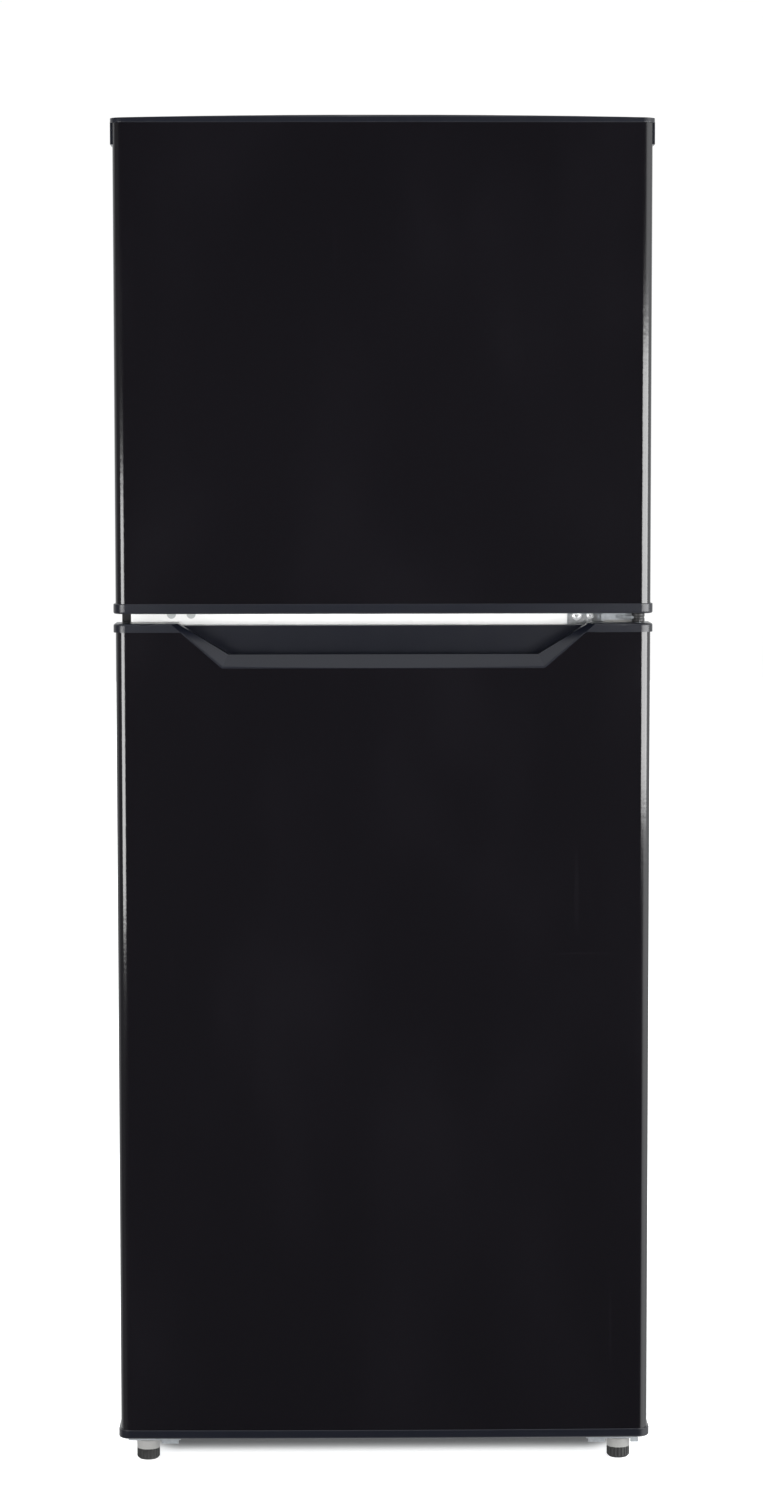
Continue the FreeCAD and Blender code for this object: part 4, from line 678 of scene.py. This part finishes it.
class ScrewHeads(Tree):
    """Pan head screws with a cross recess, one on each point, facing its stored direction."""

    def grow(self) -> bpy.types.Node:
        """Cut a cross out of a flattened dome and turn a copy on each point.

        Returns:
            The node that places the copies.
        """
        radius = self.ask("Radius")
        height = self.ask("Height")
        slot = self.ask("Slot")
        dome = self.put("MeshUVSphere", Segments=28, Rings=14, Radius=radius)
        ratio = self.put("ShaderNodeMath", set_operation="DIVIDE")
        self.plug(ratio, "0", height)
        self.plug(ratio, "1", radius)
        flat = self.put("ShaderNodeCombineXYZ", X=1.0, Y=1.0, Z=ratio)
        head = self.put("Transform", Geometry=dome, Scale=flat)
        cross = self.put("MeshBoolean", set_operation="UNION")
        for across, along in ((radius, slot), (slot, radius)):
            size = self.put("ShaderNodeCombineXYZ", X=across, Y=along, Z=height)
            bar = self.put("MeshCube", Size=size)
            lift = self.put("ShaderNodeCombineXYZ", Z=height)
            arm = self.put("Transform", Geometry=bar, Translation=lift)
            self.plug(cross, "1", arm)
        recess = self.put("MeshBoolean", set_operation="DIFFERENCE")
        self.plug(recess, "0", head)
        self.plug(recess, "1", cross)
        facing = self.put("InputNamedAttribute", set_data_type="FLOAT_VECTOR", Name="facing")
        turn = self.put("FunctionNodeAlignRotationToVector", set_axis="Z", Vector=facing)
        return self.put("InstanceOnPoints", Points=self.entry, Instance=recess, Rotation=turn)


@dataclass
class Fixings:
    """Screws of the cabinet: top hinge, middle hinge and machine cover."""

    head_radius: float = 0.0042
    middle_radius: float = 0.0056
    head_height: float = 0.0021
    slot_width: float = 0.0011
    top_spots: tuple[tuple[float, float], ...] = ((0.218, -0.240), (0.262, -0.240),
                                                  (0.240, -0.208))
    middle_proud: float = 0.0029
    large_spot: float = 0.217
    small_spot: float = 0.232
    middle_level: float = 0.961
    cover_columns: tuple[float, ...] = (-0.260, 0.0, 0.260)
    cover_levels: tuple[float, ...] = (0.062, 0.248)

    def cabinet_spots(self) -> list[tuple[Triple, Triple]]:
        """Find the places of the plain screws' successors.

        Returns:
            Each place with the way it faces.
        """
        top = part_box("top_hinge")[1].z
        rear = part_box("machine_cover")[1].y
        places = [((x, y, top), (0.0, 0.0, 1.0)) for x, y in self.top_spots]
        places.append(self.middle_hinge_spot(self.small_spot))
        return places + [((x, rear, z), (0.0, 1.0, 0.0))
                         for x in self.cover_columns for z in self.cover_levels]

    def middle_hinge_spot(self, x: float) -> tuple[Triple, Triple]:
        """Place of a middle hinge screw, with the way it faces."""
        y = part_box("centre_rail")[0].y - self.middle_proud
        return (x, y, self.middle_level), (0.0, -1.0, 0.0)

    def points(self, places: list[tuple[Triple, Triple]]) -> Mesh:
        """Loose points under the screw heads.

        Args:
            places: each place with the way it faces.

        Returns:
            A mesh with a facing attribute.
        """
        mesh = bpy.data.meshes.new("screw_spots")
        mesh.from_pydata([place for place, _ in places], [], [])
        facing = mesh.attributes.new("facing", "FLOAT_VECTOR", "POINT")
        for value, (_, way) in zip(facing.data, places):
            value.vector = way
        return mesh

    def build(self, paint: Paintbox) -> None:
        """Make the screws in place of the plain ones."""
        tree = ScrewHeads("case_screw_heads", paint.pots["screw_zinc"])
        sizes = {"Radius": self.head_radius, "Height": self.head_height, "Slot": self.slot_width}
        large = sizes | {"Radius": self.middle_radius}
        sets = (("case_screw_set", sizes, self.cabinet_spots(), ("case_screws",)),
                ("middle_hinge_screw_set", large, [self.middle_hinge_spot(self.large_spot)], ()))
        for name, size, places, plain_ones in sets:
            mesh = tree.bake(size, self.points(places))
            smooth(mesh, 40.0)
            Piece(name, "cabinet", "screw_zinc").settle(mesh, paint, *plain_ones)


@dataclass
class Bellows:
    """Magnetic door gasket: a bellows section with mitred corners, round one door."""

    door: str
    node: str
    width: float = 0.018
    fold: float = 0.0042
    lip: float = 0.0016

    def section(self, depth: float) -> list[tuple[float, float]]:
        """Closed outline of the gasket's section.

        Args:
            depth: distance from the door's inner panel to the cabinet face.

        Returns:
            Points as (inward, toward the cabinet).
        """
        half = [(self.lip, 0.0), (0.0, 0.06), (0.0, 0.14), (self.fold * 0.5, 0.24),
                (self.fold, 0.33), (self.fold, 0.39), (self.fold * 0.5, 0.46), (0.0, 0.55),
                (0.0, 0.93), (self.lip * 0.4, 0.98), (self.lip, 1.0)]
        left = [(inward, share * depth) for inward, share in half]
        right = [(self.width - inward, share * depth) for inward, share in reversed(half)]
        return left + right

    def build(self, paint: Paintbox) -> None:
        """Sweep the section round the door and replace the plain ring."""
        low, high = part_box(self.node)
        points = self.section(high.y - low.y)
        work = bmesh.new()
        rings = []
        for side_x, side_z in ((-1, -1), (1, -1), (1, 1), (-1, 1)):
            ring = []
            for inward, along in points:
                x = low.x + inward if side_x < 0 else high.x - inward
                z = low.z + inward if side_z < 0 else high.z - inward
                ring.append(work.verts.new((x, low.y + along, z)))
            rings.append(ring)
        for index, ring in enumerate(rings):
            stitch(work, ring, rings[(index + 1) % len(rings)])
        name = self.node + "_bellows"
        mesh = finished(work, name, limit=35.0)
        Piece(name, self.door, "gasket_rubber").settle(mesh, paint, self.node)


@dataclass
class BeadBand:
    """One straight band of beads on a face, such as ribs, wires or dial marks."""

    name: str
    body: str
    slot: str
    start: Triple
    step: Triple
    run: Triple
    count: int
    radius: float
    sides: int = 10

    def build(self, paint: Paintbox) -> None:
        """Make the band as one mesh."""
        tree = BeadRow(self.name + "_row", paint.pots[self.slot])
        mesh = tree.bake({"Count": self.count, "Start": self.start, "Step": self.step,
                          "Run": self.run, "Radius": self.radius, "Sides": self.sides})
        smooth(mesh, 50.0)
        Piece(self.name, self.body, self.slot).settle(mesh, paint)


def centred_row(width: float, pitch: float) -> tuple[int, float]:
    """How many beads fit a width, and where the first stands from its middle."""
    count = int(width / pitch) + 1
    return count, -(count - 1) * pitch / 2


@dataclass
class RearView:
    """Back of the appliance: condenser wires, stiffening ribs and vent slats."""

    wire_radius: float = 0.0008
    wire_pitch: float = 0.011
    wire_seat: float = 0.6
    tube_margin: float = 0.035
    overhang: float = 0.014
    rib_count: int = 8
    rib_radius: float = 0.0028
    rib_pitch: float = 0.14
    rib_inset: float = 0.05
    rib_foot: float = 0.10
    rib_sink: float = 0.0006
    slat_length: float = 0.094
    slat_rise: float = 0.0055
    slat_thick: float = 0.0012
    slat_shift: float = 0.0035
    slat_pitch: float = 0.011
    slat_rows: int = 12
    slat_columns: tuple[float, ...] = (-0.180, -0.020, 0.100)
    slat_depth: float = 0.0022
    slat_lift: float = 0.0045
    slot_width: float = 0.090
    slot_bottom: float = 0.092

    def wires(self, paint: Paintbox) -> None:
        """Upright wires welded to both faces of the condenser tube."""
        low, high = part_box("condenser_coil")
        middle = (low.y + high.y) / 2
        tube = (high.y - low.y) / 2
        reach = min(-low.x, high.x) - self.tube_margin
        count, start = centred_row(2 * reach, self.wire_pitch)
        for label, side in (("front", -1.0), ("rear", 1.0)):
            y = middle + side * (tube + self.wire_radius * self.wire_seat)
            BeadBand(f"condenser_wires_{label}", "cabinet", "condenser_black",
                     start=(start, y, low.z - self.overhang),
                     step=(self.wire_pitch, 0.0, 0.0),
                     run=(0.0, 0.0, high.z - low.z + 2 * self.overhang),
                     count=count, radius=self.wire_radius, sides=6).build(paint)

    def ribs(self, paint: Paintbox) -> None:
        """Pressed stiffening ribs across the back panel."""
        low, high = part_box("back_panel")
        BeadBand("back_panel_ribs", "cabinet", "grey_steel",
                 start=(low.x + self.rib_inset, high.y - self.rib_sink, low.z + self.rib_foot),
                 step=(0.0, 0.0, self.rib_pitch),
                 run=(high.x - low.x - 2 * self.rib_inset, 0.0, 0.0),
                 count=self.rib_count, radius=self.rib_radius, sides=12).build(paint)

    def slats(self, paint: Paintbox) -> None:
        """Slanted slats behind the vents of the machine cover."""
        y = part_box("machine_cover")[1].y - self.slat_depth
        overlap = (self.slat_length - self.slot_width) / 2
        places = [(x - overlap, y, self.slot_bottom + row * self.slat_pitch + self.slat_lift)
                  for x in self.slat_columns for row in range(self.slat_rows)]
        mesh = bpy.data.meshes.new("vent_spots")
        mesh.from_pydata(places, [], [])
        tree = SlatField("vent_slat_field", paint.pots["grey_steel"])
        baked = tree.bake({"Length": self.slat_length, "Thickness": self.slat_thick,
                           "Drop": self.slat_rise, "Shift": self.slat_shift}, mesh)
        smooth(baked, 30.0)
        Piece("machine_vent_slats", "cabinet", "grey_steel").settle(baked, paint)

    def build(self, paint: Paintbox) -> None:
        """Make everything on the back."""
        self.wires(paint)
        self.ribs(paint)
        self.slats(paint)


@dataclass
class DoorBins:
    """Ribbed fronts of the door racks."""

    rib_radius: float = 0.0011
    rib_pitch: float = 0.013
    rib_foot: float = 0.008
    rib_trim: float = 0.020
    margin: float = 0.020
    rack_rise: float = 0.072

    def band(self, paint: Paintbox, node: str, body: str, low: float, high: float,
             label: str) -> None:
        """Ribs on the front of one rack.

        Args:
            paint: the finishes.
            node: the rack's modelled part.
            body: what it rides on.
            low: level of the rack's floor.
            high: level of its rim.
            label: ending of the piece's name.
        """
        corner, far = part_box(node)
        count, start = centred_row(far.x - corner.x - 2 * self.margin, self.rib_pitch)
        BeadBand(f"{node}_ribs_{label}", body, "clear_plastic",
                 start=(start, far.y, low + self.rib_foot), step=(self.rib_pitch, 0.0, 0.0),
                 run=(0.0, 0.0, high - low - self.rib_trim),
                 count=count, radius=self.rib_radius, sides=8).build(paint)

    def build(self, paint: Paintbox) -> None:
        """Make the ribs of every rack."""
        for node, body in (("fridge_door_racks", "fridge_door"),
                           ("freezer_door_racks", "freezer_door")):
            low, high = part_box(node)
            self.band(paint, node, body, low.z, low.z + self.rack_rise, "low")
            self.band(paint, node, body, high.z - self.rack_rise, high.z, "high")
        low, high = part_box("bottle_rack")
        self.band(paint, "bottle_rack", "fridge_door", low.z, high.z, "tall")


def eased_plate(paint: Paintbox, name: str, slot: str, low: Triple, high: Triple) -> None:
    """Flat plate that faces forward on the cabinet, with round corners and an eased front edge.

    Args:
        paint: the finishes.
        name: the piece's name.
        slot: its finish.
        low: low corner.
        high: high corner.
    """
    work = bmesh.new()
    bmesh.ops.create_cube(work, size=1.0)
    centre = (Vector(low) + Vector(high)) / 2
    size = Vector(high) - Vector(low)
    shape = Matrix.Translation(centre) @ Matrix.Diagonal((*size, 1.0))
    bmesh.ops.transform(work, matrix=shape, verts=work.verts[:])
    corners = [e for e in work.edges if abs(e.verts[0].co.y - e.verts[1].co.y) > size.y / 2]
    bmesh.ops.bevel(work, geom=corners, offset=PLATE_CORNER, segments=4, affect="EDGES")
    front = [e for e in work.edges if all(v.co.y < centre.y for v in e.verts)]
    bmesh.ops.bevel(work, geom=front, offset=size.y * PLATE_EASE, segments=2, affect="EDGES")
    Piece(name, "cabinet", slot).settle(finished(work, name, limit=50.0), paint)


@dataclass
class BaseStrip:
    """Painted strip that closes the foot of the cabinet's front."""

    margin: float = 0.0104
    foot: float = 0.0002
    rise: float = 0.0052
    thick: float = 0.0006

    def build(self, paint: Paintbox) -> None:
        """Make the strip."""
        low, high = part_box("outer_wrapper")
        eased_plate(paint, "base_front_strip", "cabinet_paint",
                    (low.x + self.margin, low.y - self.thick, low.z + self.foot),
                    (high.x - self.margin, low.y, low.z + self.rise))


@dataclass
class MiddleHingeDress:
    """Sleeve, washer plate and cover strip of the middle hinge, in the gap between the doors."""

    face_proud: float = 0.0025
    plate_thick: float = 0.0005
    plate_left: float = 0.2078
    plate_right: float = 0.2400
    plate_foot: float = 0.0008
    plate_top: float = 0.0192
    strip_left: float = 0.2445
    strip_right: float = 0.2760
    strip_foot: float = 0.0048
    strip_top: float = 0.0142
    strip_rear: float = -0.285
    strip_thick: float = 0.0014
    pin_x: float = 0.283
    pin_y: float = -0.299
    radius: float = 0.0070
    clearance: float = 0.0005
    segments: int = 40

    def build(self, paint: Paintbox) -> None:
        """Make the sleeve, the plate under the screws and the strip before the stop."""
        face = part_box("centre_rail")[0].y - self.face_proud
        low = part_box("middle_hinge")[0].z
        eased_plate(paint, "middle_hinge_washer", "grey_steel",
                    (self.plate_left, face - self.plate_thick, low + self.plate_foot),
                    (self.plate_right, face, low + self.plate_top))
        eased_plate(paint, "middle_hinge_strip", "grey_plastic",
                    (self.strip_left, self.strip_rear - self.strip_thick, low + self.strip_foot),
                    (self.strip_right, self.strip_rear, low + self.strip_top))
        self.sleeve(paint)

    def sleeve(self, paint: Paintbox) -> None:
        """Turn the black sleeve round the pin, with eased rims and a waist."""
        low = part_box("fridge_door_top_cap")[1].z + self.clearance
        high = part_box("freezer_door_bottom_cap")[0].z - self.clearance
        rise = high - low
        outline = [(0.88, 0.0), (1.0, 0.08), (1.0, 0.36), (0.94, 0.42), (0.94, 0.58), (1.0, 0.64),
                   (1.0, 0.92), (0.88, 1.0)]
        work = bmesh.new()
        rings = []
        for share, lift in outline:
            ring = []
            for index in range(self.segments):
                turn = 2 * math.pi * index / self.segments
                ring.append(work.verts.new((self.pin_x + share * self.radius * math.cos(turn),
                                            self.pin_y + share * self.radius * math.sin(turn),
                                            low + lift * rise)))
            rings.append(ring)
        for lower, upper in zip(rings, rings[1:]):
            stitch(work, lower, upper)
        work.faces.new(list(reversed(rings[0])))
        work.faces.new(rings[-1])
        mesh = finished(work, "middle_hinge_bush", limit=35.0)
        Piece("middle_hinge_bush", "cabinet", "black_plastic").settle(mesh, paint)


@dataclass
class InsideDetails:
    """Lens ribs, dial marks, knob pointer and drawer ribs, inside the lower compartment."""

    lens_pitch: float = 0.004
    lens_margin: float = 0.005
    lens_start: float = 0.006
    lens_sink: float = 0.0002
    lens_radius: float = 0.0013
    tick_count: int = 7
    tick_sweep: float = 4.2
    tick_radius: float = 0.0225
    tick_length: float = 0.004
    short_tick: float = 0.0022
    tick_inset: float = 0.002
    tick_proud: float = 0.0006
    tick_width: float = 0.0011
    tick_ease: float = 0.00015
    edge_margin: float = 0.0005
    pointer_start: float = 0.002
    pointer_length: float = 0.0105
    pointer_radius: float = 0.0007
    drawer_pitch: float = 0.016
    drawer_margin: float = 0.030
    drawer_face: float = 0.012
    drawer_foot: float = 0.016
    drawer_rise: float = 0.120
    drawer_radius: float = 0.0012

    def lens_ribs(self, paint: Paintbox) -> None:
        """Prism ribs under the lamp's lens."""
        low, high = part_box("lamp_lens")
        count = int((high.y - low.y - 2 * self.lens_margin) / self.lens_pitch)
        BeadBand("lamp_lens_ribs", "cabinet", "lens_plastic",
                 start=(low.x + self.lens_margin, low.y + self.lens_start, low.z + self.lens_sink),
                 step=(0.0, self.lens_pitch, 0.0),
                 run=(high.x - low.x - 2 * self.lens_margin, 0.0, 0.0),
                 count=count, radius=self.lens_radius, sides=8).build(paint)

    def dial(self, paint: Paintbox) -> None:
        """Raised marks round the temperature knob, longer toward the cold end."""
        low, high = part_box("thermostat_knob")
        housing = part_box("control_housing")[0]
        centre = Vector(((low.x + high.x) / 2, housing.y, (low.z + high.z) / 2))
        work = bmesh.new()
        for index in range(self.tick_count):
            share = index / (self.tick_count - 1)
            turn = math.pi / 2 + self.tick_sweep * (0.5 - share)
            out = Vector((math.cos(turn), 0.0, math.sin(turn)))
            length = self.tick_length * (0.6 + 0.4 * share)
            tip = centre.z + out.z * (self.tick_radius + length)
            if tip < housing.z + self.edge_margin:
                length = self.short_tick
            spot = centre + out * (self.tick_radius - self.tick_inset + length / 2)
            size = Matrix.Diagonal((length, self.tick_proud, self.tick_width, 1.0))
            made = bmesh.ops.create_cube(work, size=1.0)
            shape = Matrix.Translation(spot) @ Matrix.Rotation(-turn, 4, "Y") @ size
            bmesh.ops.transform(work, matrix=shape, verts=made["verts"])
        bmesh.ops.bevel(work, geom=list(work.edges), offset=self.tick_ease, segments=1,
                        affect="EDGES")
        Piece("dial_marks", "cabinet", "grey_plastic").settle(finished(work, "dial_marks"), paint)

    def pointer(self, paint: Paintbox) -> None:
        """Marker line on the knob's grip."""
        low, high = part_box("thermostat_knob")
        middle = ((low.x + high.x) / 2, low.y, (low.z + high.z) / 2 + self.pointer_start)
        BeadBand("knob_pointer", "knob", "white_plastic", start=middle, step=(0.001, 0.0, 0.0),
                 run=(0.0, 0.0, self.pointer_length), count=1, radius=self.pointer_radius,
                 sides=8).build(paint)

    def drawer_ribs(self, paint: Paintbox) -> None:
        """Upright ribs on the crisper drawer's face."""
        low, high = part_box("crisper_drawer")
        count, start = centred_row(high.x - low.x - 2 * self.drawer_margin, self.drawer_pitch)
        BeadBand("crisper_face_ribs", "drawer", "clear_plastic",
                 start=(start, low.y + self.drawer_face, low.z + self.drawer_foot),
                 step=(self.drawer_pitch, 0.0, 0.0), run=(0.0, 0.0, self.drawer_rise),
                 count=count, radius=self.drawer_radius, sides=8).build(paint)

    def build(self, paint: Paintbox) -> None:
        """Make all of them."""
        self.lens_ribs(paint)
        self.dial(paint)
        self.pointer(paint)
        self.drawer_ribs(paint)


@dataclass
class Softbox:
    """One rectangular studio lamp."""

    name: str
    spot: Triple
    aim: Triple
    width: float
    height: float
    radiance: float
    mirrored: bool = True
    spreads: bool = True

    def build(self) -> None:
        """Hang the lamp."""
        lamp = bpy.data.lights.new(self.name, "AREA")
        lamp.shape = "RECTANGLE"
        lamp.size = self.width
        lamp.size_y = self.height
        lamp.energy = self.radiance * math.pi * self.width * self.height
        holder = shown(self.name, lamp)
        holder.location = self.spot
        holder.rotation_mode = "QUATERNION"
        beam = Vector(self.aim) - Vector(self.spot)
        holder.rotation_quaternion = beam.to_track_quat("-Z", "Y")
        holder.visible_camera = False
        holder.visible_glossy = self.mirrored
        holder.visible_diffuse = self.spreads
        LOG.info("hung lamp %s", self.name)


@dataclass
class Studio:
    """Pale floor with a shadow painted under the appliance, surrounding light, lamps and camera.
    """

    floor_half: float = 14.0
    floor_tone: float = 0.9
    # Colour of the paper under the appliance, where the shadow is painted.
    painted_shadow_tone: float = 0.25
    floor_glow: float = 0.6
    backdrop_level: float = 1.02
    back_level: float = 1.0
    left_level: float = 0.28
    right_level: float = 2.3
    front_level: float = 0.06
    sky_level: float = 1.35
    camera_spot: Triple = (-0.0486, -4.33, 1.141)
    camera_pitch: float = 4.646
    camera_yaw: float = -0.672
    camera_roll: float = -0.065
    lens: float = 87.37

    def floor(self) -> None:
        """Large pale floor at level zero, with a shadow painted into its colour and glow under the
        appliance.
        """
        work = bmesh.new()
        bmesh.ops.create_grid(work, x_segments=8, y_segments=8, size=self.floor_half)
        mesh = bpy.data.meshes.new("studio_floor")
        work.to_mesh(mesh)
        work.free()
        plane = shown("studio_floor", mesh)
        shader = Shader("studio_paper")
        clear_of_painted_shadow = self.outside_painted_shadow(shader)
        fibre = shader.level(shader.noise(shader.place(), 0.004), -0.01, 0.01)
        # Painted shadow: the paper's colour falls to the painted shadow tone under the appliance.
        shader.feed("Base Color", shader.tone(shader.add(clear_of_painted_shadow, fibre),
                                              (self.painted_shadow_tone,) * 3, (self.floor_tone,) * 3))
        shader.fix("Roughness", 0.9)
        shader.fix("Specular IOR Level", 0.1)
        shader.fix("Emission Color", (1.0, 1.0, 1.0, 1.0))
        # Painted shadow: the paper's glow fades to nothing under the appliance.
        shader.feed("Emission Strength", shader.level(clear_of_painted_shadow, 0.0, self.floor_glow, 0.0, 1.0))
        mesh.materials.append(shader.material)
        plane.visible_glossy = False

    def outside_painted_shadow(self, shader: Shader) -> Socket:
        """How far the paper lies outside the shadow painted under the appliance.

        Args:
            shader: the paper's tree.

        Returns:
            0 under the appliance, in the full painted shadow, to 1 in the open.
        """
        axes = shader.nodes.new("ShaderNodeSeparateXYZ")
        shader.links.new(shader.place(), axes.inputs["Vector"])
        width = shader.nodes.new("ShaderNodeMath")
        width.operation = "ABSOLUTE"
        shader.links.new(axes.outputs["X"], width.inputs[0])
        across = shader.level(width.outputs[0], 0.0, 1.0, 0.23, 0.33)
        before = shader.level(axes.outputs["Y"], 1.0, 0.0, -0.265, -0.165)
        behind = shader.level(axes.outputs["Y"], 0.0, 1.0, 0.22, 0.34)
        return shader.level(shader.add(across, shader.add(before, behind)), 0.0, 1.0, 0.0, 1.0)

    def surroundings(self) -> None:
        """White to the camera; as light, dim in front, brighter right, behind and above."""
        world = bpy.data.worlds.new("studio_light")
        bpy.context.scene.world = world
        wiring = Wiring(world)
        nodes, links = wiring.nodes, wiring.links
        output = nodes.new("ShaderNodeOutputWorld")
        white = nodes.new("ShaderNodeBackground")
        white.inputs["Color"].default_value = (1.0, 1.0, 1.0, 1.0)
        white.inputs["Strength"].default_value = self.backdrop_level
        lit = nodes.new("ShaderNodeBackground")
        lit.inputs["Color"].default_value = (0.97, 0.985, 1.0, 1.0)
        chooser = nodes.new("ShaderNodeMixShader")
        path = nodes.new("ShaderNodeLightPath")
        source = nodes.new("ShaderNodeTexCoord")
        parts = nodes.new("ShaderNodeSeparateXYZ")
        links.new(source.outputs["Generated"], parts.inputs["Vector"])

        def mix(factor: Socket, low: object, high: object) -> Socket:
            """Blend of two levels, plain or linked."""
            node = nodes.new("ShaderNodeMix")
            node.data_type = "FLOAT"
            links.new(factor, node.inputs[0])
            for socket, value in ((node.inputs[2], low), (node.inputs[3], high)):
                if isinstance(value, Socket):
                    links.new(value, socket)
                else:
                    socket.default_value = value
            return node.outputs[0]

        light = self.left_level
        for axis, start, end, strength in (
            ("X", -0.5, 0.5, self.right_level),
            ("Y", -0.1, 0.5, self.back_level),
            ("Y", -0.55, -0.88, self.front_level),
            ("Z", 0.28, 0.7, self.sky_level),
        ):
            share = wiring.level(parts.outputs[axis], 0.0, 1.0, start, end)
            light = mix(share, light, strength)
        links.new(light, lit.inputs["Strength"])
        links.new(path.outputs["Is Camera Ray"], chooser.inputs["Fac"])
        links.new(lit.outputs["Background"], chooser.inputs[1])
        links.new(white.outputs["Background"], chooser.inputs[2])
        links.new(chooser.outputs["Shader"], output.inputs["Surface"])

    def lamps(self) -> None:
        """Side softboxes that draw the upright highlights, and a soft front fill."""
        for lamp in (
            Softbox("left_softbox", (-1.63, -2.40, 0.70), (-0.2, -0.33, 0.80), 1.35, 0.80, 13.0),
            Softbox("right_softbox", (1.55, -2.45, 0.93), (0.2, -0.33, 0.90), 1.15, 0.85, 13.0),
            Softbox("right_sweep", (2.47, -1.48, 0.93), (0.3, -0.33, 0.90), 1.6, 0.85, 11.0,
                    spreads=False),
            Softbox("front_fill", (0.0, -4.6, 1.15), (0.0, 0.0, 0.85), 1.6, 0.5, 44.0,
                    mirrored=False),
        ):
            lamp.build()

    def camera(self) -> None:
        """Set the camera that frames the closed front."""
        lens = bpy.data.cameras.new("front_camera")
        lens.lens = self.lens
        lens.sensor_width = 36.0
        lens.clip_end = 100.0
        eye = shown("front_camera", lens)
        eye.location = self.camera_spot
        turn = Matrix.Rotation(math.radians(self.camera_yaw), 4, "Z")
        tilt = Matrix.Rotation(math.radians(90.0 - self.camera_pitch), 4, "X")
        roll = Matrix.Rotation(math.radians(self.camera_roll), 4, "Z")
        eye.rotation_euler = (turn @ tilt @ roll).to_euler()
        bpy.context.scene.camera = eye

    def build(self) -> None:
        """Set up the whole studio."""
        bpy.context.scene.view_settings.view_transform = "Standard"
        self.floor()
        self.surroundings()
        self.lamps()
        self.camera()


def main() -> None:
    """Build every sub-assembly in order."""
    logging.basicConfig(level=logging.INFO, format="%(message)s")
    Studio().build()
    paint = Paintbox()
    paint.dress(frame["record"], frame["nodes"])
    Fixings().build(paint)
    Bellows("fridge_door", "fridge_door_gasket").build(paint)
    Bellows("freezer_door", "freezer_door_gasket").build(paint)
    RearView().build(paint)
    DoorBins().build(paint)
    BaseStrip().build(paint)
    MiddleHingeDress().build(paint)
    InsideDetails().build(paint)


if __name__ == "__main__":
    main()
